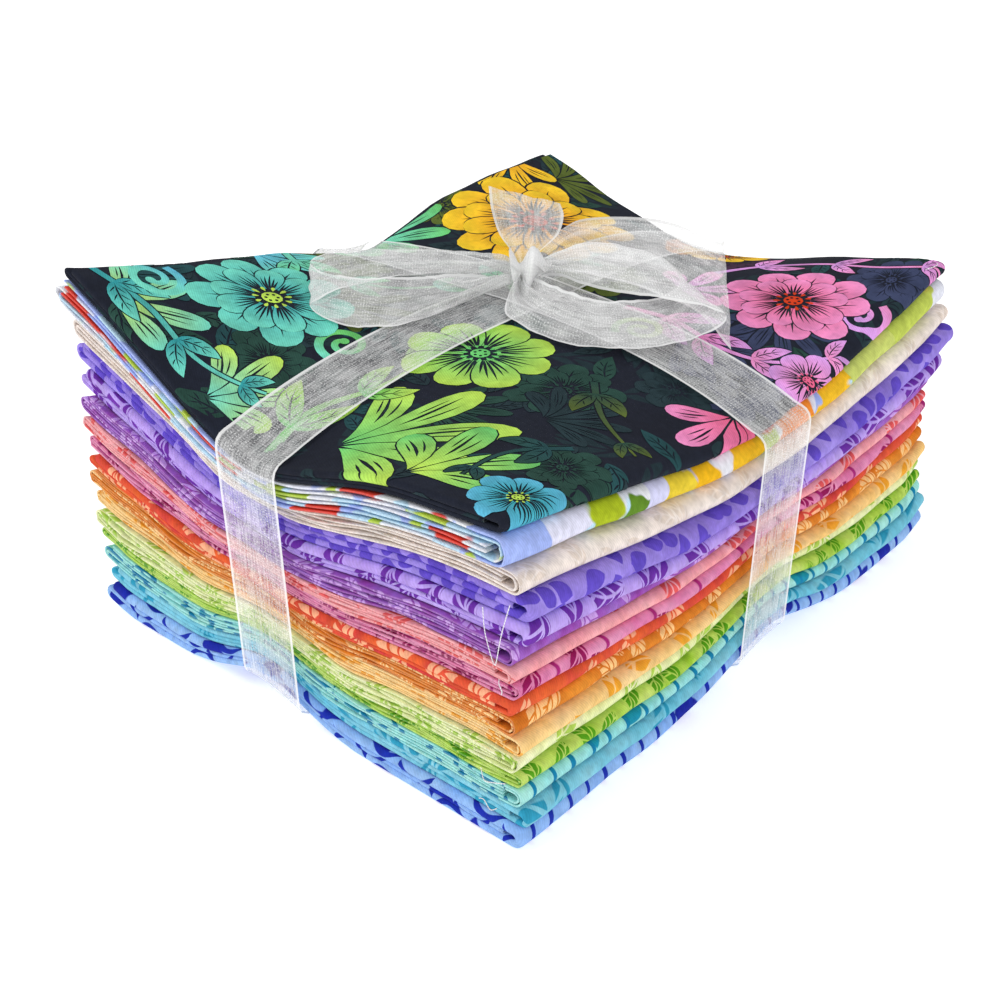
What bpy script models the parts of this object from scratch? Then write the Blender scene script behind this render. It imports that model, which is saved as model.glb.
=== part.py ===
"""A bundle of sixteen folded quilting cottons, tied both ways with a ribbon and a bow.

Metres, +Z up. The bundle stands on z = 0 with its origin under the middle of its box.
X runs along the short side, where the folded ends show, and Y along the long side, where
the folded spines show on the +X side.
"""

import math

import bmesh
import bpy
from mathutils import Vector

COLLECTION = "fabric_bundle"

# Driving dimensions. A cut of 0.457 by 0.559 is halved to 0.229, then folded in three to 0.186.
CUT_WIDTH = 0.457
CUT_LENGTH = 0.559
SHORT_SIDE = CUT_LENGTH / 3
LONG_SIDE = CUT_WIDTH / 2
RIBBON_WIDTH = 0.026
RIBBON_THICK = 0.001
MILLIMETRE = 0.001

# Left between any two pieces
GAP = 0.0003

# Between cottons: twice the gap, because cells that bend two ways come 0.3 mm nearer
COTTON_GAP = 2 * GAP

HALF_X = SHORT_SIDE / 2
HALF_Y = LONG_SIDE / 2

# Where the two ribbon bands cross, seen from above
CROSS_X = -0.012
CROSS_Y = 0.012

# The top of the heap without its pinches, and how far it keeps its shape inward from a side
TOP_MIDDLE = 0.1085
PINCH_REACH_TOP = 0.045
PINCH_REACH_BOTTOM = 0.030
FLARE_POWER = 1.5
CURL_FROM = 0.9
FLAT_BELOW = 0.0006

# The ribbon draws each side in: how far down at the top, up at the bottom, and how wide
SIDES = (
    # name, axis across, sign, top drop, bottom lift, top spread, bottom spread
    ("front", "y", -1, 0.016, 0.011, 0.030, 0.017),
    ("spines", "x", 1, 0.019, 0.012, 0.070, 0.022),
    ("back", "y", 1, 0.021, 0.011, 0.050, 0.020),
    ("ends", "x", -1, 0.010, 0.009, 0.022, 0.018),
)

# How far each corner of the top flares up, and each corner of the bottom curls up
CORNERS = (
    # x sign, y sign, top flare, bottom curl
    (-1, -1, 0.026, 0.003),
    (1, -1, 0.007, 0.0),
    (1, 1, 0.009, 0.006),
    (-1, 1, 0.007, 0.003),
)

# The folded cottons from the top down. Thickness is a share of the heap's height, and the
# other columns are how far each one reaches past the common size on its four sides, in mm.
COTTONS = (
    # name, thickness share, spine reach, ends reach, front reach, back reach, colour
    ("cotton_01_black_floral", 5.5, -3.5, -3.0, 3.0, 1.0, (0.012, 0.013, 0.030)),
    ("cotton_02_pastel", 10.5, -2.0, 1.5, 4.0, 1.5, (0.75, 0.78, 0.80)),
    ("cotton_03_cream", 8.5, 0.0, 0.5, 0.5, 2.5, (0.86, 0.76, 0.66)),
    ("cotton_04_periwinkle", 8.5, 2.5, 3.0, -1.5, 3.0, (0.14, 0.12, 0.62)),
    ("cotton_05_lavender", 7.5, 1.5, 2.5, -1.0, -2.0, (0.45, 0.33, 0.76)),
    ("cotton_06_plum", 7.0, -1.5, 1.5, 1.0, -3.0, (0.33, 0.10, 0.42)),
    ("cotton_07_pink", 5.5, -1.0, 2.0, 1.5, -4.0, (0.83, 0.33, 0.42)),
    ("cotton_08_orchid", 6.0, -0.5, 1.0, 0.5, -3.0, (0.72, 0.22, 0.47)),
    ("cotton_09_crimson", 5.5, -1.5, 1.5, 1.0, -2.5, (0.66, 0.07, 0.07)),
    ("cotton_10_orange", 6.5, -1.0, 2.5, 1.0, -2.5, (0.80, 0.30, 0.04)),
    ("cotton_11_peach", 6.5, 1.0, 2.0, 0.0, -2.0, (0.90, 0.56, 0.18)),
    ("cotton_12_pale_green", 7.0, -1.0, 3.0, 1.0, -2.5, (0.66, 0.80, 0.30)),
    ("cotton_13_green", 5.0, 1.0, 3.0, 0.0, -2.5, (0.33, 0.60, 0.05)),
    ("cotton_14_aqua", 7.0, 1.0, 1.5, 0.5, -1.5, (0.22, 0.66, 0.66)),
    ("cotton_15_teal", 6.0, 2.5, 0.0, -0.5, -0.5, (0.07, 0.46, 0.62)),
    ("cotton_16_blue", 8.0, 1.5, 2.0, 1.0, -0.5, (0.22, 0.42, 0.84)),
)
COTTON_ROUGHNESS = 0.9

# A folded cotton's section: three doubled thicknesses, and the parts of its height they fill
SHEET_SHARE = 0.27
SPINE_STEPS = 3
FLAP_STEPS = 2
FLAP_SHORT = 0.006
TOP_SHEET_SHORT = 0.004

# Every cloth and band follows these lines, so that no two surfaces cross between them
BAND_X = (CROSS_X - RIBBON_WIDTH / 2, CROSS_X + RIBBON_WIDTH / 2)
BAND_Y = (CROSS_Y - RIBBON_WIDTH / 2, CROSS_Y + RIBBON_WIDTH / 2)
LINES_X = (-0.082, -0.052, BAND_X[0], BAND_X[1], 0.045, 0.080)
LINES_Y = (-0.104, -0.050, BAND_Y[0], BAND_Y[1], 0.100)
ALL_X = (-HALF_X, *LINES_X, HALF_X)
ALL_Y = (-HALF_Y, *LINES_Y, HALF_Y)

# Room for the bands: the outer one, along X, passes over the inner one, along Y
BAND_OFF_SIDE = 0.0045
INNER_BAND_OFF = GAP
OUTER_BAND_OFF = 2 * GAP + RIBBON_THICK
ROOM_UNDER_INNER = INNER_BAND_OFF + RIBBON_THICK + GAP
ROOM_UNDER_OUTER = OUTER_BAND_OFF + RIBBON_THICK + GAP

# The ribbon is a sheer one, and only its knot is thick enough to look denser
RIBBON_COLOUR = (0.94, 0.95, 0.96)
RIBBON_ROUGHNESS = 0.35
RIBBON_ALPHA = 0.45
KNOT_ALPHA = 0.6

# The bow is laid out from the knot, with one axis along the loops and one across them.
# The knot's sizes are along, across and up, and its middle lies a little across, all in mm.
BOW_TURN = math.radians(40.0)
KNOT_SIZE = (15.0, 12.0, 10.0)
KNOT_ACROSS = 2.0
KNOT_STEPS_ROUND = 12
KNOT_STEPS_UP = 8

# Rows of the bow's ribbons: a section's middle along, across and above the knot's middle,
# then half its width as a vector the same way, all in mm
LOOP_LEFT = (
    # along, across, up, half along, half across, half up
    (-9.5, 0.0, 3.0, 0.0, 3.0, 0.0),
    (-16.0, 0.5, 4.6, 0.0, 6.5, -0.8),
    (-32.0, 1.5, 5.6, 0.0, 9.5, -1.5),
    (-50.0, 3.0, 6.2, 0.0, 10.5, -1.5),
    (-64.0, 8.0, 5.2, 1.0, 11.5, -1.0),
    (-69.5, 13.5, 1.6, 1.5, 12.0, -1.0),
    (-65.0, 20.0, -0.6, 1.0, 12.2, -1.5),
    (-54.0, 24.0, -0.8, 0.0, 12.2, -2.0),
    (-38.0, 21.0, -1.0, -1.0, 11.5, -2.0),
    (-23.0, 12.5, -1.4, -1.5, 7.5, -1.0),
    (-10.5, 6.0, -1.8, -1.0, 3.0, 0.0),
)
LOOP_RIGHT = (
    # along, across, up, half along, half across, half up
    (-1.0, 9.8, -2.0, -3.0, 1.6, -0.4),
    (2.0, 19.0, -2.4, -6.0, 6.0, -1.2),
    (12.0, 28.0, -2.4, -3.0, 10.5, -2.4),
    (24.0, 32.0, -2.2, 0.0, 12.2, -2.2),
    (38.0, 31.0, -2.4, 2.5, 12.0, -1.8),
    (50.0, 27.0, -1.6, 5.5, 11.0, -1.4),
    (56.5, 24.5, 1.4, 6.5, 10.5, -1.0),
    (50.0, 20.0, 5.4, 5.0, 10.0, -1.5),
    (36.0, 13.0, 6.4, 1.5, 9.5, -1.5),
    (20.0, 6.0, 4.8, 0.0, 7.5, -1.2),
    (9.8, 2.5, 2.8, 0.0, 3.0, -0.4),
)
TAIL_RIGHT = (
    # along, across, up, half along, half across, half up
    (6.3, -3.0, 1.6, 0.0, 1.4, -3.0),
    (21.0, -10.5, 3.4, 0.0, 3.5, -7.6),
    (37.0, -6.0, 4.0, 0.0, 4.6, -9.6),
    (48.0, 0.5, 4.0, -2.0, 6.0, -10.3),
    (59.0, 11.5, 2.0, -6.0, 6.5, -8.9),
    (66.0, 21.5, 1.2, -0.5, 16.0, -9.3),
)
TAIL_UP = (
    # along, across, up, half along, half across, half up
    (-0.5, -1.0, 4.8, 3.0, 0.0, 0.0),
    (0.5, -3.0, 12.0, 10.0, 0.5, 0.0),
    (0.0, -4.0, 19.0, 12.2, 0.5, -1.0),
    (-1.2, -4.5, 25.0, 12.2, 0.5, -2.8),
)
STEPS_BETWEEN_ROWS = 2


def clear_scene():
    for old in list(bpy.data.objects):
        bpy.data.objects.remove(old, do_unlink=True)


def bump(distance, spread):
    """A soft hump that is 1 in its middle."""
    return math.exp(-0.5 * (distance / spread) ** 2)


def side_distances(x, y, axis, sign):
    """How far a place lies along a side from the ribbon, and inward from that side."""
    if axis == "y":
        return x - CROSS_X, max(0.0, HALF_Y - sign * y)
    return y - CROSS_Y, max(0.0, HALF_X - sign * x)


def top_surface(x, y):
    """The height of the heap's top: flared at the corners, drawn down under the ribbon."""
    height = TOP_MIDDLE
    for x_sign, y_sign, flare, _ in CORNERS:
        if x * x_sign > 0 and y * y_sign > 0:
            height += flare * (abs(x) / HALF_X * abs(y) / HALF_Y) ** FLARE_POWER
    for _, axis, sign, drop, _, spread, _ in SIDES:
        along, inward = side_distances(x, y, axis, sign)
        height -= drop * bump(along, spread) * math.exp(-inward / PINCH_REACH_TOP)
    return height


def inside(value, limits):
    return limits[0] - GAP <= value <= limits[1] + GAP


def bottom_surface(x, y):
    """The height of the heap's underside: flat on the table but for the ribbon and curls."""
    height = -FLAT_BELOW
    for _, axis, sign, _, lift, _, spread in SIDES:
        along, inward = side_distances(x, y, axis, sign)
        height += lift * bump(along, spread) * math.exp(-inward / PINCH_REACH_BOTTOM)
    height = max(0.0, height)
    if inside(x, BAND_X):
        height = max(height, ROOM_UNDER_INNER)
    if inside(y, BAND_Y):
        height = max(height, ROOM_UNDER_OUTER)
    for x_sign, y_sign, _, curl in CORNERS:
        out_x = max(0.0, x * x_sign / HALF_X - CURL_FROM) / (1 - CURL_FROM)
        out_y = max(0.0, y * y_sign / HALF_Y - CURL_FROM) / (1 - CURL_FROM)
        height += curl * min(1.0, out_x) * min(1.0, out_y)
    return height


def stack_levels():
    """The lower and upper level of each cotton, as shares of the heap's height."""
    whole = sum(row[1] for row in COTTONS)
    upper = 1.0
    levels = []
    for row in COTTONS:
        lower = upper - row[1] / whole
        levels.append((lower, upper))
        upper = lower
    return levels


def cell_of(value, lines):
    """The first line of the cell that holds a value, or of the end cell past the last line."""
    first = 0
    while first < len(lines) - 2 and value > lines[first + 1]:
        first += 1
    return first


def on_lines(surface, x, y):
    """A surface's height, straight between the lines and on past the last of them."""
    column, row = cell_of(x, ALL_X), cell_of(y, ALL_Y)
    x0, x1 = ALL_X[column], ALL_X[column + 1]
    y0, y1 = ALL_Y[row], ALL_Y[row + 1]
    across, along = (x - x0) / (x1 - x0), (y - y0) / (y1 - y0)
    near = surface(x0, y0) + across * (surface(x1, y0) - surface(x0, y0))
    far = surface(x0, y1) + across * (surface(x1, y1) - surface(x0, y1))
    return near + along * (far - near)


def height_at(x, y, level):
    low = on_lines(bottom_surface, x, y)
    return low + level * (on_lines(top_surface, x, y) - low)


def folded_path(spine_x, ends_x, thick):
    """The middle line of one folded cotton's section and its normals, as (x, rise, nx, nr).

    It starts at the flap inside, runs to the -X side, folds down, runs back to the spine,
    folds up round the flap, and ends on top at the -X side. Rise is a share of the height.
    """
    low, middle, high = SHEET_SHARE / 2, 0.5, 1 - SHEET_SHARE / 2
    spine_radius = (high - low) * thick / 2
    flap_radius = (middle - low) * thick / 2
    path = [(spine_x - FLAP_SHORT, middle, 0.0, -1.0)]
    path += [(x, middle, 0.0, -1.0) for x in reversed(LINES_X)]
    turn_x = ends_x + flap_radius
    for step in range(FLAP_STEPS + 1):
        angle = math.pi * step / FLAP_STEPS
        rise = (middle + low) / 2 + (middle - low) / 2 * math.cos(angle)
        out = flap_radius * math.sin(angle)
        path.append((turn_x - out, rise, math.sin(angle), -math.cos(angle)))
    path += [(x, low, 0.0, 1.0) for x in LINES_X]
    turn_x = spine_x - spine_radius
    for step in range(SPINE_STEPS + 1):
        angle = math.pi * step / SPINE_STEPS
        rise = 0.5 - (high - low) / 2 * math.cos(angle)
        out = spine_radius * math.sin(angle)
        path.append((turn_x + out, rise, -math.sin(angle), math.cos(angle)))
    path += [(x, high, 0.0, -1.0) for x in reversed(LINES_X)]
    path.append((ends_x + TOP_SHEET_SHORT, high, 0.0, -1.0))
    return path


def section_points(path, thick):
    """Both faces of a section, as two lists of (x, rise)."""
    half = SHEET_SHARE / 2
    one = [(x + nx * half * thick, rise + nr * half) for x, rise, nx, nr in path]
    other = [(x - nx * half * thick, rise - nr * half) for x, rise, nx, nr in path]
    return one, other


def finish(name, points, faces, colour, roughness, alpha=1.0):
    """Makes one object of the points and faces, with its faces out and its own material."""
    mesh = bpy.data.meshes.new(name)
    mesh.from_pydata(points, [], faces)
    mesh.validate()
    part = bpy.data.objects.new(name, mesh)
    bpy.data.collections[COLLECTION].objects.link(part)
    material = bpy.data.materials.new(name + "_cloth")
    material.use_nodes = True
    shader = material.node_tree.nodes["Principled BSDF"]
    shader.inputs["Base Color"].default_value = (*colour, 1.0)
    shader.inputs["Roughness"].default_value = roughness
    shader.inputs["Metallic"].default_value = 0.0
    shader.inputs["Alpha"].default_value = alpha
    mesh.materials.append(material)
    return part


def loft(rings, closed=False):
    """Points and triangles that join rings of equal count, with flat strips for the caps.

    Every ring lists one face of a strip and then the other one backwards. Each four-sided
    cell is halved along the same diagonal seen from above, so that neighbours never cross.
    """
    count = len(rings[0])
    points = [place for ring in rings for place in ring]
    faces = []
    last = len(rings) if closed else len(rings) - 1
    for index in range(last):
        here = index * count
        there = (index + 1) % len(rings) * count
        for side in range(count):
            next_side = (side + 1) % count
            a, b = here + side, here + next_side
            c, d = there + next_side, there + side
            if points[b][0] >= points[a][0]:
                faces += [(a, b, c), (a, c, d)]
            else:
                faces += [(a, b, d), (b, c, d)]
    if not closed:
        half = count // 2
        for start, flip in ((0, True), ((len(rings) - 1) * count, False)):
            for side in range(half - 1):
                cell = (
                    start + side,
                    start + side + 1,
                    start + count - 2 - side,
                    start + count - 1 - side,
                )
                halves = [(cell[0], cell[1], cell[2]), (cell[0], cell[2], cell[3])]
                faces += [tuple(reversed(three)) for three in halves] if flip else halves
    return points, faces


def turned_out(points, faces):
    """The faces, turned round if they enclose a negative volume."""
    volume = 0.0
    for face in faces:
        a, b, c = (Vector(points[corner]) for corner in face)
        volume += a.dot(b.cross(c))
    return faces if volume > 0 else [tuple(reversed(face)) for face in faces]


def finish_ribbon(name, points, faces, alpha):
    """One piece of the ribbon, in its own sheer material."""
    faces = turned_out(points, faces)
    return finish(name, points, faces, RIBBON_COLOUR, RIBBON_ROUGHNESS, alpha)


def folded_cotton(row, levels):
    """One cut of cotton, folded: its section drawn along the heap's bent layers."""
    name, _, spine_reach, ends_reach, front_reach, back_reach, colour = row
    lower, upper = levels
    spine_x = HALF_X + spine_reach * MILLIMETRE
    ends_x = -HALF_X - ends_reach * MILLIMETRE
    stations = [-HALF_Y - front_reach * MILLIMETRE, *LINES_Y, HALF_Y + back_reach * MILLIMETRE]
    thick = (upper - lower) * TOP_MIDDLE - COTTON_GAP
    one, other = section_points(folded_path(spine_x, ends_x, thick), thick)
    ring = one + other[::-1]
    rings = []
    for y in stations:
        places = []
        for x, rise in ring:
            low = height_at(x, y, lower)
            high = height_at(x, y, upper) - COTTON_GAP
            places.append((x, y, low + rise * (high - low)))
        rings.append(places)
    points, faces = loft(rings)
    return finish(name, points, turned_out(points, faces), colour, COTTON_ROUGHNESS)


def band_ring(path, edges, across_is_x):
    """Rings of four corners for a closed band: inner and outer, at both selvages."""
    rings = []
    for inner, outer in path:
        corners = []
        for face, edge in ((inner, 0), (inner, 1), (outer, 1), (outer, 0)):
            along, height = face[0], face[1][edge]
            place = (edges[edge], along, height) if across_is_x else (along, edges[edge], height)
            corners.append(place)
        rings.append(corners)
    return rings


def wrap_band(name, across_is_x, lines, half, off):
    """One turn of ribbon round the heap, off its top and bottom, straight down its sides."""
    edges = BAND_X if across_is_x else BAND_Y
    stations = [-half, *lines, half]

    def surface(which, along):
        ends = [(edge, along) if across_is_x else (along, edge) for edge in edges]
        return [which(*end) for end in ends]

    def raised(heights, by):
        return [height + by for height in heights]

    side = half + BAND_OFF_SIDE
    path = []
    for along in stations:
        over = surface(top_surface, along)
        path.append(((along, raised(over, off)), (along, raised(over, off + RIBBON_THICK))))
    for which, order in ((top_surface, 1), (bottom_surface, -1)):
        ends = surface(which, half)
        inner = (side, raised(ends, -order * GAP))
        outer = (side + RIBBON_THICK, raised(ends, order * GAP))
        path.append((inner, outer))
    for along in reversed(stations):
        under = surface(bottom_surface, along)
        path.append(((along, raised(under, -off)), (along, raised(under, -off - RIBBON_THICK))))
    for which, order in ((bottom_surface, -1), (top_surface, 1)):
        ends = surface(which, -half)
        inner = (-side, raised(ends, -order * GAP))
        outer = (-side - RIBBON_THICK, raised(ends, order * GAP))
        path.append((inner, outer))
    points, faces = loft(band_ring(path, edges, across_is_x), closed=True)
    return finish_ribbon(name, points, faces, RIBBON_ALPHA)


def between(rows, steps):
    """Rows of a table with smooth ones put between them, each passing through its own."""
    made = []
    for index in range(len(rows) - 1):
        before = rows[max(0, index - 1)]
        here, there = rows[index], rows[index + 1]
        after = rows[min(len(rows) - 1, index + 2)]
        for step in range(steps):
            t = step / steps
            row = []
            for p, a, b, n in zip(before, here, there, after):
                row.append(
                    0.5
                    * (
                        2 * a
                        + (b - p) * t
                        + (2 * p - 5 * a + 4 * b - n) * t * t
                        + (3 * a - p - 3 * b + n) * t * t * t
                    )
                )
            made.append(tuple(row))
    made.append(rows[-1])
    return made


def bow_place(along, across, up, knot):
    """A place of the bow in the bundle's own axes, from one given in mm from the knot."""
    cosine, sine = math.cos(BOW_TURN), math.sin(BOW_TURN)
    return knot + MILLIMETRE * Vector(
        (along * cosine + across * sine, along * sine - across * cosine, up)
    )


def bow_ribbon(name, rows, knot):
    """A length of ribbon through the rows, as one thin solid."""
    sections = []
    for along, across, up, half_along, half_across, half_up in between(rows, STEPS_BETWEEN_ROWS):
        middle = bow_place(along, across, up, knot)
        half = bow_place(half_along, half_across, half_up, Vector())
        sections.append((middle, half))
    rings = []
    for index, (middle, half) in enumerate(sections):
        before = sections[max(0, index - 1)][0]
        after = sections[min(len(sections) - 1, index + 1)][0]
        normal = (after - before).cross(half).normalized() * (RIBBON_THICK / 2)
        ring = (middle - half + normal, middle + half + normal)
        ring += (middle + half - normal, middle - half - normal)
        rings.append([tuple(place) for place in ring])
    points, faces = loft(rings)
    return finish_ribbon(name, points, faces, RIBBON_ALPHA)


def tied_knot(knot):
    """The knot of the bow, as one small rounded lump."""
    ball = bmesh.new()
    bmesh.ops.create_uvsphere(
        ball, u_segments=KNOT_STEPS_ROUND, v_segments=KNOT_STEPS_UP, radius=0.5
    )
    bmesh.ops.triangulate(ball, faces=ball.faces[:])
    ball.verts.index_update()
    points = []
    for vertex in ball.verts:
        along, across, up = (size * share for size, share in zip(KNOT_SIZE, vertex.co))
        points.append(tuple(bow_place(along, KNOT_ACROSS + across, up, knot)))
    faces = [tuple(corner.index for corner in face.verts) for face in ball.faces]
    ball.free()
    return finish_ribbon("ribbon_knot", points, faces, KNOT_ALPHA)


def stand_on_origin(parts):
    """Moves every part so that the origin lies under the middle of the whole box."""
    places = [vertex.co for part in parts for vertex in part.data.vertices]
    middle_x = (min(p.x for p in places) + max(p.x for p in places)) / 2
    middle_y = (min(p.y for p in places) + max(p.y for p in places)) / 2
    shift = Vector((-middle_x, -middle_y, -min(p.z for p in places)))
    for part in parts:
        for vertex in part.data.vertices:
            vertex.co += shift


def build():
    clear_scene()
    group = bpy.data.collections.new(COLLECTION)
    bpy.context.scene.collection.children.link(group)
    parts = [folded_cotton(row, levels) for row, levels in zip(COTTONS, stack_levels())]
    parts.append(wrap_band("ribbon_band_inner", True, LINES_Y, HALF_Y, INNER_BAND_OFF))
    parts.append(wrap_band("ribbon_band_outer", False, LINES_X, HALF_X, OUTER_BAND_OFF))
    over_bands = top_surface(CROSS_X, CROSS_Y) + OUTER_BAND_OFF + RIBBON_THICK
    knot_rise = KNOT_SIZE[2] * MILLIMETRE / 2 + 2 * GAP
    knot = Vector((CROSS_X, CROSS_Y, over_bands + knot_rise))
    parts.append(tied_knot(knot))
    parts.append(bow_ribbon("ribbon_loop_left", LOOP_LEFT, knot))
    parts.append(bow_ribbon("ribbon_loop_right", LOOP_RIGHT, knot))
    parts.append(bow_ribbon("ribbon_tail_right", TAIL_RIGHT, knot))
    parts.append(bow_ribbon("ribbon_tail_up", TAIL_UP, knot))
    stand_on_origin(parts)


build()
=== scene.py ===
"""The looks of a bundle of folded quilting cottons, tied both ways with sheer ribbon and a bow."""

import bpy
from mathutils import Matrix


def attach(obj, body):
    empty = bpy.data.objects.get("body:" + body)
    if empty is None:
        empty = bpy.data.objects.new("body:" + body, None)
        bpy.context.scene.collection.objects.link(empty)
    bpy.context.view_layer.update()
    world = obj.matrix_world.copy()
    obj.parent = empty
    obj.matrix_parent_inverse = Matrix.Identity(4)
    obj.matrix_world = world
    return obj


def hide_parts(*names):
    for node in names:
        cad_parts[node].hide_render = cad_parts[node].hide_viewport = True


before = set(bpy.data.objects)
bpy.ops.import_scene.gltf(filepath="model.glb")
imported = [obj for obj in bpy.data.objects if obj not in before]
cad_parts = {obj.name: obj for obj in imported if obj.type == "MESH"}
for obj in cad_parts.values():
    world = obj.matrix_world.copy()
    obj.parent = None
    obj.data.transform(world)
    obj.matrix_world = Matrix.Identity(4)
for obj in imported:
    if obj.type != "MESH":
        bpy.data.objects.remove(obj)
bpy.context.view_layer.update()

import copy
import math

import bpy
import numpy as np
from mathutils import Vector
from mathutils.geometry import delaunay_2d_cdt


# Camera
# A pinhole camera that looks down on the near corner of the bundle, from the photograph's
# angle. It aims a little left of and below the middle of the heap, as the photograph does.
LOOK_AT = Vector((0.0, 0.0, 0.0372))
CAMERA_DISTANCE = 0.586
CAMERA_TURN = math.radians(40.08)
CAMERA_RISE = math.radians(30.13)
LENS_MM = 59.54
SENSOR_MM = 36.0
AIM_LEFT = 0.0099
AIM_DOWN = 0.0071
NEAREST_SEEN = 0.01


def put(name, data):
    """A new object of the data, in the scene."""
    made = bpy.data.objects.new(name, data)
    bpy.context.scene.collection.objects.link(made)
    return made


away = Vector(
    (
        math.sin(CAMERA_TURN) * math.cos(CAMERA_RISE),
        -math.cos(CAMERA_TURN) * math.cos(CAMERA_RISE),
        math.sin(CAMERA_RISE),
    )
)
view_right = Vector((0.0, 0.0, 1.0)).cross(away).normalized()
view_up = away.cross(view_right)
camera = put("camera", bpy.data.cameras.new("camera"))
camera.data.lens = LENS_MM
camera.data.sensor_width = SENSOR_MM
camera.data.sensor_fit = "HORIZONTAL"
camera.data.clip_start = NEAREST_SEEN
camera.location = LOOK_AT + away * CAMERA_DISTANCE
aim = LOOK_AT - view_right * AIM_LEFT - view_up * AIM_DOWN
camera.rotation_euler = (aim - camera.location).to_track_quat("-Z", "Y").to_euler()
bpy.context.scene.camera = camera


# The folded cottons
# Sixteen cuts of quilting cotton, 0.457 by 0.559 m. Each is halved along its length, then folded
# in three like a letter, so that its spine shows on the +X side and its edges on the -Y side.
CUT_WIDTH = 0.457
CUT_LENGTH = 0.559
HALF_X = CUT_LENGTH / 6
HALF_Y = CUT_WIDTH / 4
CLOTH_THICK = 0.0006
MM = 0.001

# The heap that the ribbon draws in on four sides, as it is in the solids
CROSS_X = -0.012
CROSS_Y = 0.012
RIBBON_WIDTH = 0.026
TOP_MIDDLE = 0.1085
PINCH_REACH_TOP = 0.045
PINCH_REACH_BOTTOM = 0.030
FLARE_POWER = 1.5
CURL_FROM = 0.9
FLAT_BELOW = 0.0006
SIDES = (
    # axis across, sign, top drop, bottom lift, top spread, bottom spread
    ("y", -1, 0.016, 0.011, 0.030, 0.017),
    ("x", 1, 0.019, 0.012, 0.070, 0.022),
    ("y", 1, 0.021, 0.011, 0.050, 0.020),
    ("x", -1, 0.010, 0.009, 0.022, 0.018),
)
CORNERS = (
    # x sign, y sign, top flare, bottom curl
    (-1, -1, 0.026, 0.003),
    (1, -1, 0.007, 0.0),
    (1, 1, 0.009, 0.006),
    (-1, 1, 0.007, 0.003),
)


def bump(distance, spread):
    return np.exp(-0.5 * (distance / spread) ** 2)


def side_distances(x, y, axis, sign):
    """How far places lie along a side from the ribbon, and inward from that side."""
    if axis == "y":
        return x - CROSS_X, np.maximum(0.0, HALF_Y - sign * y)
    return y - CROSS_Y, np.maximum(0.0, HALF_X - sign * x)


def top_surface(x, y):
    height = np.full(np.shape(x), TOP_MIDDLE)
    for x_sign, y_sign, flare, _ in CORNERS:
        here = (x * x_sign > 0) & (y * y_sign > 0)
        height += here * flare * (np.abs(x) / HALF_X * np.abs(y) / HALF_Y) ** FLARE_POWER
    for axis, sign, drop, _, spread, _ in SIDES:
        along, inward = side_distances(x, y, axis, sign)
        height -= drop * bump(along, spread) * np.exp(-inward / PINCH_REACH_TOP)
    return height


BAND_ROOM = 0.0022
BAND_ROOM_SPREAD = 0.010


def bottom_surface(x, y):
    height = np.full(np.shape(x), -FLAT_BELOW)
    for axis, sign, _, lift, _, spread in SIDES:
        along, inward = side_distances(x, y, axis, sign)
        height += lift * bump(along, spread) * np.exp(-inward / PINCH_REACH_BOTTOM)
    height = np.maximum(0.0, height)
    room = np.maximum(bump(x - CROSS_X, BAND_ROOM_SPREAD), bump(y - CROSS_Y, BAND_ROOM_SPREAD))
    height = np.maximum(height, BAND_ROOM * room)
    for x_sign, y_sign, _, curl in CORNERS:
        out_x = np.clip((x * x_sign / HALF_X - CURL_FROM) / (1 - CURL_FROM), 0.0, 1.0)
        out_y = np.clip((y * y_sign / HALF_Y - CURL_FROM) / (1 - CURL_FROM), 0.0, 1.0)
        height += curl * out_x * out_y
    return height


# From the top down. Thickness is a share of the heap's height, the four reaches past the common
# size are in mm, and the three pairs of layers share the cotton's own height from the top down.
COTTONS = (
    # name, thickness, spine, ends, front, back, halving fold in front, top, middle, bottom pair
    ("cotton_01_black_floral", 5.5, -3.5, -3.0, 3.0, 1.0, True, 0.46, 0.27, 0.27),
    ("cotton_02_pastel", 10.5, -2.0, 1.5, 4.0, 1.5, False, 0.36, 0.33, 0.31),
    ("cotton_03_cream", 8.5, 0.0, 0.5, 0.5, 2.5, False, 0.33, 0.33, 0.34),
    ("cotton_04_periwinkle", 8.5, 2.5, 3.0, -1.5, 3.0, True, 0.36, 0.30, 0.34),
    ("cotton_05_lavender", 7.5, 1.5, 2.5, -1.0, -2.0, True, 0.56, 0.24, 0.20),
    ("cotton_06_plum", 7.0, -1.5, 1.5, 1.0, -3.0, False, 0.34, 0.33, 0.33),
    ("cotton_07_pink", 5.5, -1.0, 2.0, 1.5, -4.0, False, 0.33, 0.34, 0.33),
    ("cotton_08_orchid", 6.0, -0.5, 1.0, 0.5, -3.0, False, 0.30, 0.34, 0.36),
    ("cotton_09_crimson", 5.5, -1.5, 1.5, 1.0, -2.5, True, 0.52, 0.26, 0.22),
    ("cotton_10_orange", 6.5, -1.0, 2.5, 1.0, -2.5, False, 0.33, 0.33, 0.34),
    ("cotton_11_peach", 6.5, 1.0, 2.0, 0.0, -2.0, False, 0.34, 0.32, 0.34),
    ("cotton_12_pale_green", 7.0, -1.0, 3.0, 1.0, -2.5, False, 0.33, 0.33, 0.34),
    ("cotton_13_green", 5.0, 1.0, 3.0, 0.0, -2.5, False, 0.33, 0.34, 0.33),
    ("cotton_14_aqua", 7.0, 1.0, 1.5, 0.5, -1.5, False, 0.30, 0.34, 0.36),
    ("cotton_15_teal", 6.0, 2.5, 0.0, -0.5, -0.5, True, 0.40, 0.30, 0.30),
    ("cotton_16_blue", 8.0, 1.5, 2.0, 1.0, -0.5, True, 0.40, 0.24, 0.36),
)
FLAP_SHORT = 0.006
TOP_SHEET_SHORT = 0.004
COTTON_GAP = 0.0004
FOLD_FILL = 0.40
RAW_FILL = 0.25
FOLD_ROUND = 9
END_ROUND = 5

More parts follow.
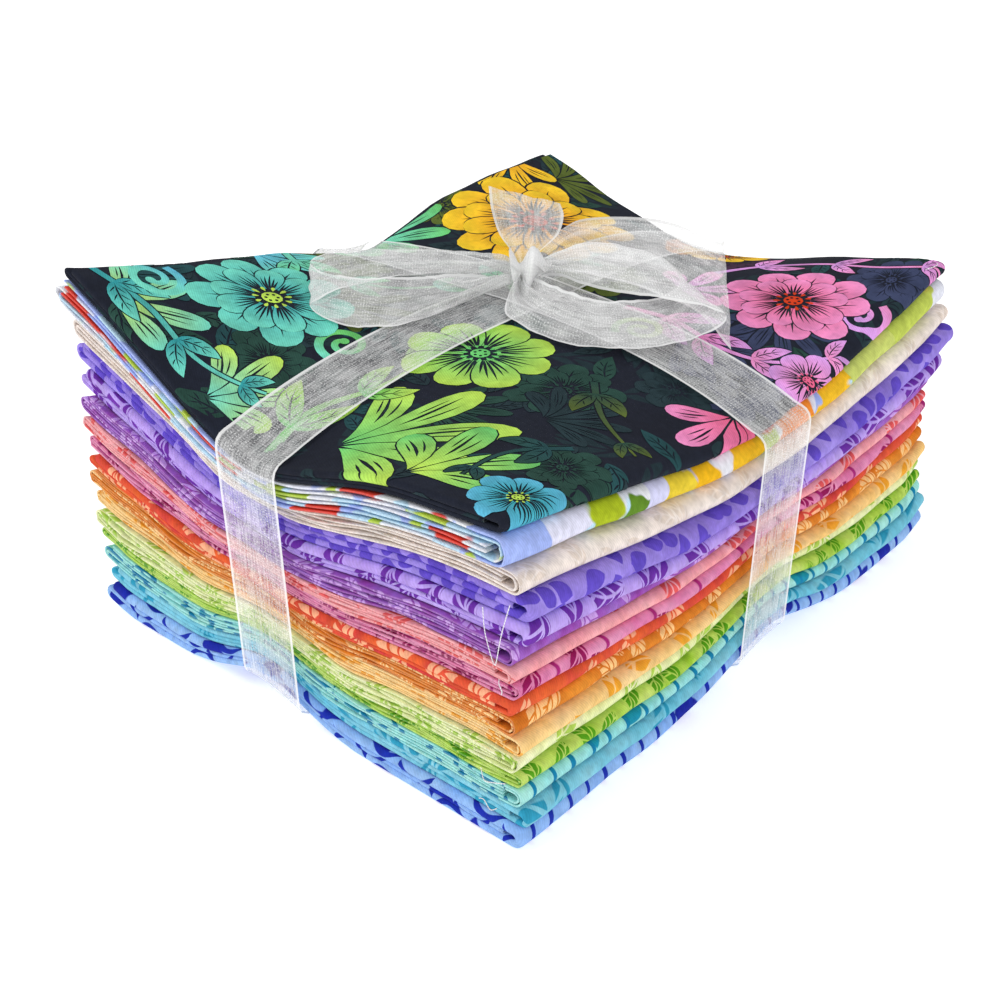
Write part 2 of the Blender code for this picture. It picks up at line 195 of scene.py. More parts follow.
# Lines of the sheets' grids: evenly across the letter folds, and closer towards the ends
COLUMNS_PER_LEVEL = 30
ROWS_FROM_END = (0.0, 0.0006, 0.0015, 0.003, 0.0055, 0.009)
ROWS_BETWEEN = 34

# The unevenness of hand-folded cloth
WOBBLE = 0.0006
WOBBLE_INSIDE = 0.25
WOBBLE_REACH = 0.014
WOBBLE_LONGEST = 0.075
WOBBLE_SHORTEST = 0.024
WOBBLE_UP = 0.014
EDGE_WANDER = 0.0008
EDGE_PAST = 0.6
SPINE_WANDER = 0.0006
LAYER_APART = 0.013
COTTON_APART = 0.02
FREE_FROM = 6.0
EDGE_SEED, SPINE_SEED, HEAP_SEED = 40, 60, 80
WAVES = 6
WAVES_EVEN = 0.75


def waves(x, y, up, seed, longest=WOBBLE_LONGEST, shortest=WOBBLE_SHORTEST):
    """Smooth unevenness from -1 to 1, the same for the same seed."""
    dice = np.random.default_rng(seed)
    total = 0.0
    for length in np.geomspace(longest, shortest, WAVES):
        turn = dice.uniform(0.0, math.tau)
        start = dice.uniform(0.0, math.tau)
        across = (x * math.cos(turn) + y * math.sin(turn)) * math.tau / length
        total = total + np.sin(across + up * math.pi / WOBBLE_UP + start)
    return total / WAVES ** WAVES_EVEN


def run_length(points):
    """How far along a line each of its points lies."""
    return np.concatenate(([0.0], np.cumsum(np.linalg.norm(np.diff(points, axis=0), axis=1))))


class FoldedCotton:
    """Where each place of one cut of cotton lies once it is folded.

    s runs along the letter folds, from the flap's end inside to the top sheet's end, and t runs
    across them, from one raw edge over the halving fold to the other. Both are in metres.
    """

    def __init__(self, index, lower, upper):
        row = COTTONS[index]
        self.name, _, spine, ends, front, back, self.fold_in_front = row[:7]
        top_share, middle_share, bottom_share = row[7:]
        self.seed = index
        self.lower, self.upper = lower, upper
        self.thick = (upper - lower) * TOP_MIDDLE - COTTON_GAP
        self.spine_x = HALF_X + spine * MM
        self.ends_x = -HALF_X - ends * MM
        self.front_y = -HALF_Y - front * MM
        self.back_y = HALF_Y + back * MM
        low, middle = bottom_share / 2, bottom_share + middle_share / 2
        high = 1 - top_share / 2
        flap_round = (middle - low) * self.thick / 2
        turn_x = self.ends_x + flap_round
        spine_round = (high - low) * self.thick / 2
        out_x = self.spine_x - spine_round
        end_x = self.ends_x + TOP_SHEET_SHORT
        self.path = []
        for start_x, stop_x, columns in (
            (self.spine_x - FLAP_SHORT, 0, COLUMNS_PER_LEVEL),
            (0, turn_x, COLUMNS_PER_LEVEL // 2),
        ):
            self.lie(np.linspace(start_x, stop_x, columns)[:-1], middle, -1.0, middle_share)
        self.turn(turn_x, -flap_round, (middle, low), (middle_share, bottom_share), END_ROUND)
        self.lie(np.linspace(turn_x, out_x, COLUMNS_PER_LEVEL)[1:-1], low, 1.0, bottom_share)
        self.turn(out_x, spine_round, (low, high), (bottom_share, top_share), FOLD_ROUND)
        self.lie(np.linspace(out_x, end_x, COLUMNS_PER_LEVEL)[1:], high, -1.0, top_share)
        self.path = np.array(self.path)
        self.path_s = run_length(self.path[:, :2] * (1.0, self.thick))
        self.length = self.path_s[-1]
        self.fill = FOLD_FILL if self.fold_in_front else RAW_FILL
        self.half_gap = self.fill * self.thick / 3
        self.fold_y = self.front_y if self.fold_in_front else self.back_y
        self.raw_y = self.back_y if self.fold_in_front else self.front_y
        self.towards = math.copysign(1.0, self.fold_y - self.raw_y)
        self.flat_run = abs(self.fold_y - self.raw_y) - self.half_gap
        self.round_run = math.pi * self.half_gap
        self.width = 2 * self.flat_run + self.round_run

    def lie(self, places, rise, outward, share):
        """Adds a level run of the path, with its outer side up or down."""
        self.path += [(x, rise, 0.0, outward, share) for x in places]

    def turn(self, x, reach, rises, shares, steps):
        """Adds a half turn of the path between two levels, which goes out by reach."""
        outward = math.copysign(1.0, reach)
        for angle in np.linspace(0, math.pi, steps + 2):
            out, along = math.sin(angle), math.cos(angle)
            rise = sum(rises) / 2 + (rises[0] - rises[1]) / 2 * along
            share = shares[0] + (shares[1] - shares[0]) * angle / math.pi
            self.path.append((x + reach * out, rise, -outward * out, outward * along, share))

    def rows(self):
        """The t of each row of the grid: close at the raw edges and round the halving fold."""
        near = np.array(ROWS_FROM_END)
        between = np.linspace(near[-1], self.flat_run - near[-1], ROWS_BETWEEN)[1:-1]
        one = np.concatenate((near, between, self.flat_run - near[::-1]))
        over = self.flat_run + self.round_run * np.linspace(0, 1, END_ROUND + 2)[1:-1]
        return np.concatenate((one, over, self.width - one[::-1]))

    def place(self, s, t, lift=0.0):
        """Points in the bundle's axes, raised by lift off the sheet's outer side."""
        x, rise, normal_x, normal_rise, share = (
            np.interp(s, self.path_s, column) for column in self.path.T
        )
        over = np.clip((t - self.flat_run) / self.round_run, 0.0, 1.0)
        angle = over * math.pi
        half = share * self.fill * self.thick + lift
        side = -np.cos(angle)
        run = np.where(t < self.flat_run + self.round_run / 2, t, self.width - t)
        run = np.minimum(run, self.flat_run)
        y = self.raw_y + self.towards * (run + half * np.sin(angle))
        level = self.lower + rise * (self.upper - self.lower)
        raw_end = np.exp(-run / WOBBLE_REACH)
        layer = self.seed * 3 + np.round(rise * 2) + 0.5 * side
        wander = waves(x, layer * LAYER_APART, 0.0, EDGE_SEED)
        y = y - self.towards * raw_end * EDGE_WANDER * (wander - EDGE_PAST)
        at_spine = np.exp(-np.maximum(0.0, self.spine_x - x) / WOBBLE_REACH)
        x = x + normal_x * half * side
        wander = waves(y, self.seed * COTTON_APART, 0.0, SPINE_SEED + self.seed)
        x = x + at_spine * SPINE_WANDER * wander
        rise = rise + normal_rise * half * side / self.thick
        low = bottom_surface(x, y)
        high = top_surface(x, y)
        foot = low + self.lower * (high - low)
        head = low + self.upper * (high - low) - COTTON_GAP
        z = foot + rise * (head - foot)
        inward = np.minimum(
            np.minimum(np.abs(x - HALF_X), np.abs(x + HALF_X)),
            np.minimum(np.abs(y - HALF_Y), np.abs(y + HALF_Y)),
        )
        near_edge = WOBBLE_INSIDE + (1 - WOBBLE_INSIDE) * np.exp(-inward / WOBBLE_REACH)
        free = np.clip(level * FREE_FROM, 0.0, 1.0)
        z = z + WOBBLE * near_edge * free * waves(x, y, level * TOP_MIDDLE, HEAP_SEED)
        return np.stack((x, y, z), axis=-1)


def grid_mesh(name, points, *metres):
    """One mesh of a grid of points, with its rows' and its columns' places on the cloth."""
    down, across = points.shape[:2]
    uv = np.stack(np.meshgrid(*metres, indexing="ij"), axis=-1)
    index = np.arange(down * across).reshape(down, across)
    faces = np.stack((index[:-1, :-1], index[:-1, 1:], index[1:, 1:], index[1:, :-1]), axis=-1)
    mesh = bpy.data.meshes.new(name)
    mesh.from_pydata(points.reshape(-1, 3), [], faces.reshape(-1, 4))
    layer = mesh.uv_layers.new(name="cloth")
    corners = np.empty(len(mesh.loops), dtype=np.int32)
    mesh.loops.foreach_get("vertex_index", corners)
    layer.data.foreach_set("uv", uv.reshape(-1, 2)[corners].ravel())
    mesh.shade_smooth()
    return put(name, mesh)


def add_node(tree, kind, inputs=None, **settings):
    """A node with its settings, and with its inputs joined to sockets or set to values."""
    made = tree.nodes.new(kind)
    for name, value in settings.items():
        setattr(made, name, value)
    for key, value in (inputs or {}).items():
        if isinstance(value, bpy.types.NodeSocket):
            tree.links.new(value, made.inputs[key])
        else:
            made.inputs[key].default_value = value
    return made


def calc(tree, operation, *values, clamp=False):
    inputs = dict(enumerate(values))
    made = add_node(tree, "ShaderNodeMath", inputs, operation=operation, use_clamp=clamp)
    return made.outputs[0]


def mix(tree, factor, one, other, blend="MIX"):
    """Two colours, mixed by the factor."""
    made = tree.nodes.new("ShaderNodeMix")
    made.data_type = "RGBA"
    made.blend_type = blend
    for key, value in ((0, factor), (6, one), (7, other)):
        if isinstance(value, bpy.types.NodeSocket):
            tree.links.new(value, made.inputs[key])
        else:
            made.inputs[key].default_value = value if key == 0 else (*value, 1.0)
    return made.outputs[2]


def spread(tree, value, low, high, to_low=0.0, to_high=1.0, **settings):
    """The value, with its range from low to high moved to the other range and kept inside it."""
    inputs = {"Value": value, "From Min": low, "From Max": high, "To Min": to_low, "To Max": to_high}
    return add_node(tree, "ShaderNodeMapRange", inputs, **settings).outputs[0]


def above(tree, value, edge, soft):
    """1 where the value is over the edge, with a soft step."""
    return spread(tree, value, edge - soft, edge + soft, interpolation_type="SMOOTHSTEP")


def vectors(tree, operation, *values, output=0, **named):
    inputs = {**dict(enumerate(values)), **named}
    return add_node(tree, "ShaderNodeVectorMath", inputs, operation=operation).outputs[output]


def split(tree, places):
    """Where places lie along s and t."""
    return add_node(tree, "ShaderNodeSeparateXYZ", {0: places}).outputs


def grey(tree, tone):
    return add_node(tree, "ShaderNodeCombineColor", {0: tone, 1: tone, 2: tone}).outputs[0]


def noise(tree, places, size, detail, **more):
    """Uneven patches about as large as size. W, where it is given, is their seed."""
    inputs = {"Vector": places, "Scale": 1 / size, "Detail": detail, **more}
    kind = "4D" if "W" in more else "3D"
    return add_node(tree, "ShaderNodeTexNoise", inputs, noise_dimensions=kind).outputs["Fac"]


def raised(tree, shader, height, strength, depth):
    """The height as a bump on the shader."""
    inputs = {"Height": height, "Strength": strength, "Distance": depth}
    bumped = add_node(tree, "ShaderNodeBump", inputs).outputs[0]
    tree.links.new(bumped, shader.inputs["Normal"])


def new_material(name, roughness):
    """A material and its tree, shader and cloth coordinates."""
    material = bpy.data.materials.new(name)
    material.use_nodes = True
    tree = material.node_tree
    shader = tree.nodes["Principled BSDF"]
    shader.inputs["Roughness"].default_value = roughness
    cloth = add_node(tree, "ShaderNodeUVMap", uv_map="cloth").outputs[0]
    return material, tree, shader, cloth


THREAD_PITCH = 0.00085
RIB_SLANT = 0.6
RIB_SHARE = 0.20
WEAVE_STRENGTH = 0.5
WEAVE_DEPTH = 0.00012
FIBRE_SIZE = 0.0012
FIBRE_DETAIL = 3.0
BLOTCH_ROUGH = 0.55
BLOTCH_RANGE = (0.33, 0.67)


def blotches(tree, cloth, size, seed, detail=2.0):
    """Soft watery patches about as large as size, from 0 to 1."""
    patches = noise(tree, cloth, size, detail, W=seed, Roughness=BLOTCH_ROUGH)
    return spread(tree, patches, *BLOTCH_RANGE)


def dyed(tree, cloth, shader, colour, weave_shade_tones, watery, size, seed):
    """The colour on the weave's slanting ribs, with uneven thread tone and painted shade where the
    weave's bump is low, and watery patches.
    """
    s, t, _ = split(tree, cloth)
    slanting = calc(tree, "MULTIPLY_ADD", s, RIB_SLANT, t)
    ribs = calc(tree, "SINE", calc(tree, "MULTIPLY", slanting, math.tau / THREAD_PITCH))
    fibres = noise(tree, cloth, FIBRE_SIZE, FIBRE_DETAIL)
    height = calc(tree, "MULTIPLY_ADD", ribs, RIB_SHARE, fibres)
    raised(tree, shader, height, WEAVE_STRENGTH, WEAVE_DEPTH)
    wash = calc(tree, "MULTIPLY_ADD", blotches(tree, cloth, size, seed), *watery)
    # Painted shade: the colour is darker where the weave's bump is low and lighter where it is high,
    # mixed with uneven thread tone from the fibres.
    tone = calc(tree, "MULTIPLY", spread(tree, height, 0.0, 1.0, *weave_shade_tones), wash)
    return mix(tree, 1.0, colour, grey(tree, tone), "MULTIPLY")


LEAF_STRAY = 0.75
LEAF_BEND = -0.5
LEAF_SOFT = 0.014
MIDRIB_HALF = 0.020
VEIN_SLANT = 1.3
VEIN_CUT = -0.70
VEIN_SOFT = 0.1


def leaf_scatter(tree, cloth, pitch, length, width, seed, veins):
    """Scattered leaves, each turned its own way, with a midrib and side veins left out."""
    moved = vectors(tree, "ADD", cloth, (seed, seed, 0.0))
    scaled = vectors(tree, "SCALE", moved, Scale=1 / pitch)
    cells = add_node(
        tree,
        "ShaderNodeTexVoronoi",
        {"Vector": scaled, "Scale": 1.0, "Randomness": LEAF_STRAY},
        voronoi_dimensions="2D",
    )
    local = vectors(tree, "SUBTRACT", scaled, cells.outputs["Position"])
    parts = add_node(tree, "ShaderNodeSeparateColor", {0: cells.outputs["Color"]})
    turn = calc(tree, "MULTIPLY", parts.outputs[0], math.tau)
    turned = add_node(tree, "ShaderNodeVectorRotate", {"Vector": local, "Angle": turn})
    along, across, _ = split(tree, turned.outputs[0])
    squared = calc(tree, "MULTIPLY", along, along)
    aside = calc(tree, "ABSOLUTE", calc(tree, "MULTIPLY_ADD", squared, LEAF_BEND, across))
    limit = calc(tree, "MULTIPLY_ADD", squared, -width / length ** 2, width)
    mask = above(tree, calc(tree, "SUBTRACT", limit, aside), LEAF_SOFT, LEAF_SOFT)
    if veins:
        rib = above(tree, aside, MIDRIB_HALF, MIDRIB_HALF / 2)
        slant = calc(tree, "MULTIPLY_ADD", aside, VEIN_SLANT, along)
        wave = calc(tree, "SINE", calc(tree, "MULTIPLY", slant, math.tau * veins))
        side_vein = above(tree, wave, VEIN_CUT, VEIN_SOFT)
        mask = calc(tree, "MULTIPLY", mask, calc(tree, "MULTIPLY", rib, side_vein))
    return mask


BAR_WIDTH = 0.0017
BAR_SOFT = 0.015
BAR_SWAY = 0.5
SWAYS_A_BAR = 0.7
BAR_BOW = 0.35
BAR_COLUMN = 0.014
COLUMN_SHIFT = 0.38


def crossing_bars(tree, cloth, pitch, seed, spine_s):
    """Bars in bows, about a pitch apart, in columns along the spine. One column runs over it."""
    sway = noise(tree, cloth, pitch / SWAYS_A_BAR, 1.0, W=seed)
    s, t, _ = split(tree, cloth)
    counted = calc(tree, "MULTIPLY", t, 1 / pitch)
    columns_off = calc(tree, "MULTIPLY", calc(tree, "SUBTRACT", s, spine_s), 1 / BAR_COLUMN)
    column = calc(tree, "ROUND", columns_off)
    counted = calc(tree, "MULTIPLY_ADD", column, COLUMN_SHIFT, counted)
    off_column = calc(tree, "MULTIPLY", calc(tree, "SUBTRACT", columns_off, column), 2.0)
    bowed = calc(tree, "MULTIPLY_ADD", calc(tree, "MULTIPLY", off_column, off_column), BAR_BOW, counted)
    swayed = calc(tree, "MULTIPLY_ADD", sway, BAR_SWAY, bowed)
    off_line = calc(tree, "ABSOLUTE", calc(tree, "SUBTRACT", calc(tree, "FRACT", swayed), 0.5))
    return above(tree, off_line, 0.5 - BAR_WIDTH / pitch / 2, BAR_SOFT)


# What is printed on each cotton, from the top down. The ground drifts between two tones in watery
# patches, and leaves or ovals lie on it. Some have bars that cross the spine.
PRINT_COLOURS = (
    # ground, second ground, motif, bars
    ((0.011, 0.013, 0.023), (0.014, 0.018, 0.032), (0.014, 0.030, 0.038), None),
    ((0.74, 0.76, 0.90), (0.86, 0.87, 0.84), (0.34, 0.44, 0.88), None),
    ((0.87, 0.78, 0.72), (0.82, 0.72, 0.66), (0.77, 0.66, 0.58), None),
    ((0.36, 0.27, 0.78), (0.26, 0.18, 0.66), (0.12, 0.07, 0.54), None),
    ((0.53, 0.40, 0.86), (0.42, 0.27, 0.76), (0.15, 0.03, 0.36), None),
    ((0.34, 0.15, 0.58), (0.30, 0.05, 0.36), (0.58, 0.34, 0.76), None),
    ((0.88, 0.42, 0.44), (0.86, 0.30, 0.33), (0.76, 0.10, 0.10), None),
    ((0.80, 0.34, 0.52), (0.70, 0.18, 0.38), (0.30, 0.008, 0.10), (0.38, 0.02, 0.18)),
    ((0.64, 0.05, 0.05), (0.78, 0.13, 0.03), (0.92, 0.44, 0.25), None),
    ((0.80, 0.28, 0.03), (0.64, 0.17, 0.015), (0.94, 0.58, 0.24), None),
    ((0.94, 0.66, 0.30), (0.92, 0.58, 0.19), (0.86, 0.38, 0.03), None),
    ((0.84, 0.88, 0.55), (0.74, 0.82, 0.36), (0.42, 0.64, 0.10), None),
    ((0.34, 0.60, 0.04), (0.57, 0.74, 0.18), (0.09, 0.34, 0.01), None),
    ((0.26, 0.70, 0.72), (0.40, 0.78, 0.71), (0.01, 0.28, 0.42), (0.006, 0.22, 0.42)),
    ((0.13, 0.52, 0.70), (0.26, 0.60, 0.72), (0.03, 0.32, 0.50), None),
    ((0.24, 0.43, 0.85), (0.33, 0.53, 0.86), (0.012, 0.022, 0.36), (0.012, 0.030, 0.40)),
)
PRINT_SHAPES = (
    # patch and leaf pitch in mm, leaf length and width as shares of it, side veins, bar pitch in mm
    (30, 26, 0.50, 0.24, 3, 0),
    (18, 30, 0.50, 0.30, 0, 0),
    (9, 14, 0.50, 0.20, 4, 0),
    (14, 8, 0.46, 0.34, 0, 0),
    (14, 17, 0.50, 0.26, 4, 0),
    (10, 12, 0.50, 0.26, 3, 0),
    (11, 16, 0.50, 0.26, 4, 0),
    (12, 17, 0.48, 0.24, 5, 23),
    (14, 14, 0.50, 0.30, 3, 0),
    (13, 13, 0.50, 0.30, 4, 0),
    (14, 15, 0.42, 0.22, 2, 0),
    (10, 13, 0.50, 0.24, 3, 0),
    (12, 12, 0.50, 0.26, 4, 0),
    (14, 23, 0.25, 0.16, 0, 8.7),
    (18, 24, 0.50, 0.18, 3, 0),
    (14, 26, 0.25, 0.16, 0, 8.7),
)
# The pastel cotton's large watery flowers, in turn along its spine from the near corner
PASTEL_FLOWERS = (
    # from the front edge, off the spine, radius in mm, colour
    (6, 0, 17, (0.36, 0.46, 0.88)),
    (28, 2, 9, (0.74, 0.74, 0.90)),
    (45, 1, 8, (0.40, 0.50, 0.015)),
    (58, -3, 8, (0.12, 0.26, 0.02)),
    (70, 2, 9, (0.66, 0.66, 0.90)),
    (80, -2, 8, (0.80, 0.60, 0.04)),
    (94, 1, 8, (0.87, 0.48, 0.01)),
    (103, 4, 6, (0.80, 0.80, 0.86)),
    (114, 1, 8, (0.87, 0.52, 0.02)),
    (140, 0, 11, (0.86, 0.26, 0.03)),
    (162, -2, 10, (0.86, 0.50, 0.02)),
    (188, 1, 12, (0.58, 0.66, 0.16)),
    (214, -1, 13, (0.52, 0.62, 0.10)),
)
PASTEL_PATCHES = (
    # size in mm, seed, how little of the cloth, colour
    (24, 1.0, 0.62, (0.36, 0.46, 0.88)),
    (22, 3.0, 0.72, (0.46, 0.62, 0.06)),
    (20, 5.0, 0.68, (0.50, 0.72, 0.88)),
    (26, 8.3, 0.78, (0.72, 0.05, 0.03)),
)
PATCH_SOFT = 0.03
FLOWER_WAVER = 9.0
FLOWER_SOFT = 0.0006
COTTON_ROUGHNESS = 0.95
COTTON_SPECULAR = 0.16
EDGE_PALER = 0.06
EDGE_COLOUR = (0.9, 0.9, 0.9)
# How dark the weave's low places are painted and how light its high places: painted shade, mixed with
# uneven thread tone
WEAVE_SHADE_TONES = (0.86, 1.10)
WATERY = (0.26, 0.85)
MOTTLE = 2.6
SEED_STEP = 1.7
PASTEL = 1


def pastel_flowers(tree, cloth, colour, spine_s):
    """Large watery flowers with wavy edges over the colour."""
    waver = noise(tree, cloth, FLOWER_WAVER * MM, 1.0)
    for size, seed, edge, patch_colour in PASTEL_PATCHES:
        mask = above(tree, blotches(tree, cloth, size * MM, seed, 1.0), edge, PATCH_SOFT)
        colour = mix(tree, mask, colour, patch_colour)
    for along, off, radius, flower_colour in PASTEL_FLOWERS:
        middle = (spine_s + off * MM, along * MM, 0.0)
        far = vectors(tree, "DISTANCE", cloth, middle, output="Value")
        within = calc(tree, "SUBTRACT", calc(tree, "MULTIPLY", waver, 2 * radius * MM), far)
        colour = mix(tree, above(tree, within, 0.0, FLOWER_SOFT), colour, flower_colour)
    return colour


def printed_cotton(name, index, edge, spine_s):
    """The printed cotton, or with edge its cut edge, which is paler."""
    ground, second, motif, bars = PRINT_COLOURS[index]
    patch, pitch, length, width, veins, bar_pitch = PRINT_SHAPES[index]
    material, tree, shader, cloth = new_material(name, COTTON_ROUGHNESS)
    seed = index * SEED_STEP
    colour = mix(tree, blotches(tree, cloth, patch * MM, seed), ground, second)
    if index == PASTEL:
        colour = pastel_flowers(tree, cloth, colour, spine_s)
    else:
        mask = leaf_scatter(tree, cloth, pitch * MM, length, width, seed, veins)
        colour = mix(tree, mask, colour, motif)
    if bars:
        crossed = crossing_bars(tree, cloth, bar_pitch * MM, seed, spine_s)
        colour = mix(tree, crossed, colour, bars)
    colour = dyed(tree, cloth, shader, colour, WEAVE_SHADE_TONES, WATERY, MOTTLE * MM, seed)
    if edge:
        colour = mix(tree, EDGE_PALER, colour, EDGE_COLOUR)
    tree.links.new(colour, shader.inputs["Base Color"])
    shader.inputs["Specular IOR Level"].default_value = COTTON_SPECULAR
    return material


def stack_levels():
    """The lower and upper level of each cotton, as shares of the heap's height."""
    whole = sum(row[1] for row in COTTONS)
    upper = 1.0
    levels = []
    for row in COTTONS:
        lower = upper - row[1] / whole
        levels.append((lower, upper))
        upper = lower
    return levels


folded = []
for index, (lower, upper) in enumerate(stack_levels()):
    cotton = FoldedCotton(index, lower, upper)
    rows = cotton.rows()
    points = cotton.place(*np.meshgrid(cotton.path_s, rows, indexing="ij"))
    sheet = grid_mesh(cotton.name + "_cloth", points, cotton.path_s, rows)
    spine_s = cotton.path_s[cotton.path[:, 0].argmax()]
    for edge in (False, True):
        look = cotton.name + ("_edge" if edge else "_print")
        sheet.data.materials.append(printed_cotton(look, index, edge, spine_s))
    thicken = sheet.modifiers.new("thickness", "SOLIDIFY")
    thicken.thickness = CLOTH_THICK
    thicken.offset = 0.0
    thicken.material_offset_rim = 1
    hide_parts(cotton.name)
    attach(sheet, "root")
    folded.append(cotton)


# The print on the top cotton
# The top cotton's bright print on near-black: flowers, split leaves, sprays and tendrils, aqua on
# the left, lime at the near corner, orange at the back and pink on the right, over dim shadow
# flowers. It is a generic design, inked on the folded cloth as one thin skin with its own colours.
INK_LIFT = CLOTH_THICK / 2 + 0.0002
INK_GRID = 4.0
OVER_SPINE = 9.0
INK_ATTRIBUTE = "ink"
BLADE_STEPS = 11
SLIT_STEPS = 5
STROKE_STEPS = 6
STROKE_PASSES = 8
DISC_POINTS = 12
RIM_FROM = 0.3

# A leaf's rim in mm, and its midrib and side veins in shares of its length and width
LEAF_RIM = 0.5
MIDRIB = (0.0, 0.0, 0.04, 0.82)
MIDRIB_WIDE = 0.09
VEIN_ROOT, VEIN_TIP = 0.1, 0.78
VEINS_FROM, VEINS_OVER, VEIN_LONG, VEIN_WIDE = 0.14, 0.60, 0.17, 0.065

# A flower's rows, petals, dark streaks and middle, in shares of its radius
ROW_SMALLER = 0.27
PETAL_BROAD = 0.66 * 1.10
PETAL_TURN, PETAL_CURL = 3.0, 16.0
PETAL_LONG, PETAL_WIDE = (0.93, 1.04), (0.94, 1.08)
PETAL_RIM = 0.022
STREAKS = (-0.62, -0.34, 0.0, 0.34, 0.62)
STREAK_ROOT, STREAK_FROM, STREAK_TO, STREAK_SHORTER, STREAK_STRAY = 0.7, 0.05, 0.78, 0.36, 0.06
STREAK_BROAD = 0.040
FLOWER_HEART, FLOWER_HOLLOW = 0.13, 0.22
STAMENS, STAMEN_FROM, STAMEN_LONG, STAMEN_WIDE = 11, 0.155, (0.07, 0.12), 0.05
SEEDS, SEEDS_OUT, SEED_RADIUS = 6, 0.075, 0.022

# A split leaf's lobes, and the slits in each: across at root and tip, start, end and width
LOBE_SHORTER, LOBE_FOOT, LOBE_CURL, LOBE_RIM = 0.30, 0.05, 0.35, 0.55
LOBE_SLITS = (
    (0.0, 0.25, 0.34, 0.88, 0.10),
    (-0.35, -0.42, 0.44, 0.78, 0.065),
    (0.45, 0.52, 0.50, 0.80, 0.055),
)

# How a tendril winds in, and how a spray's stem and leaves grow smaller
TENDRIL_STEPS, TENDRIL_IN, TENDRIL_END, TENDRIL_KNOB = 24, 0.80, 0.7, 0.55
STEM_END, STEM_RIM = 0.35, 1.0
SPRAY_FROM, SPRAY_OVER, SPRAY_SMALLER, SPRAY_ANGLE, SPRAY_CURL = 0.22, 0.74, 0.45, 50, -38

# How blades widen from their root and narrow to their tip: two powers of the length
PETAL = (0.85, 0.42)
LEAF = (0.75, 1.0)
LOBE = (1.15, 0.5)
SLIT = (0.6, 1.0)


def swell(share, form):
    """The width at shares of a blade's length, where 1 is its widest."""
    grow, shrink = form
    widest = grow / (grow + shrink)
    return (share / widest) ** grow * ((1 - share) / (1 - widest)) ** shrink


def unit(vectors):
    return vectors / np.linalg.norm(vectors, axis=1)[:, None]


def beside(line):
    """Unit vectors to the left of a flat line, at each of its points."""
    along = unit(np.gradient(line, axis=0))
    return np.stack((-along[:, 1], along[:, 0]), axis=-1)


class Blade:
    """A petal, leaf or slit, in mm, along an arc from x, y that turns by curl degrees."""

    def __init__(self, x, y, angle, length, width, curl, form):
        share = np.linspace(0.0, 1.0, 2 * BLADE_STEPS)
        heading = np.radians(angle + curl * share)
        step = length / (len(share) - 1)
        self.share = share
        self.x = x + np.concatenate(([0.0], np.cumsum(np.cos(heading[:-1]) * step)))
        self.y = y + np.concatenate(([0.0], np.cumsum(np.sin(heading[:-1]) * step)))
        self.heading = heading
        self.width = width
        self.form = form
        self.rim = 0.0

    def at(self, along, across):
        """Places by their shares of its length and of its half width."""
        heading = np.interp(along, self.share, self.heading)
        rim = self.rim * np.minimum(along / RIM_FROM, 1.0)
        off = (swell(along, self.form) * self.width / 2 + rim) * across
        x = np.interp(along, self.share, self.x) - np.sin(heading) * off
        y = np.interp(along, self.share, self.y) + np.cos(heading) * off
        return np.stack((x, y), axis=-1)

    def outline(self):
        """Its outline, with more points towards both ends."""
        along = (1 - np.cos(np.linspace(0.0, math.pi, BLADE_STEPS))) / 2
        return np.concatenate((self.at(along, 1.0), self.at(along[::-1], -1.0)[1:-1]))

    def slit(self, root, tip, start, end, width):
        """A thin slit from across root to across tip, between two shares of the length."""
        steps = np.linspace(0.0, 1.0, SLIT_STEPS)
        line = self.at(start + (end - start) * steps, root + (tip - root) * steps)
        side = beside(line) * swell(steps, SLIT)[:, None] * width / 2
        return np.concatenate((line + side, (line - side)[-2:0:-1]))


def stroke(points, start, end):
    """A band of the given widths in mm along a smooth line of points."""
    points = np.array(points, dtype=float)
    count = len(points)
    fine = np.linspace(0, count - 1, (count - 1) * STROKE_STEPS + 1)
    smooth = np.stack([np.interp(fine, range(count), points[:, i]) for i in range(2)], axis=-1)
    for _ in range(STROKE_PASSES):
        smooth[1:-1] = (smooth[:-2] + 2 * smooth[1:-1] + smooth[2:]) / 4
    side = beside(smooth) * np.linspace(start, end, len(smooth))[:, None] / 2
    return smooth, np.concatenate((smooth + side, (smooth - side)[::-1]))


def around(x, y, angle, reach):
    turn = math.radians(angle)
    return x + reach * math.cos(turn), y + reach * math.sin(turn)


def disc(x, y, radius):
    ring = np.linspace(0.0, math.tau, DISC_POINTS + 1)[:-1]
    return np.stack((x + radius * np.cos(ring), y + radius * np.sin(ring)), axis=-1)


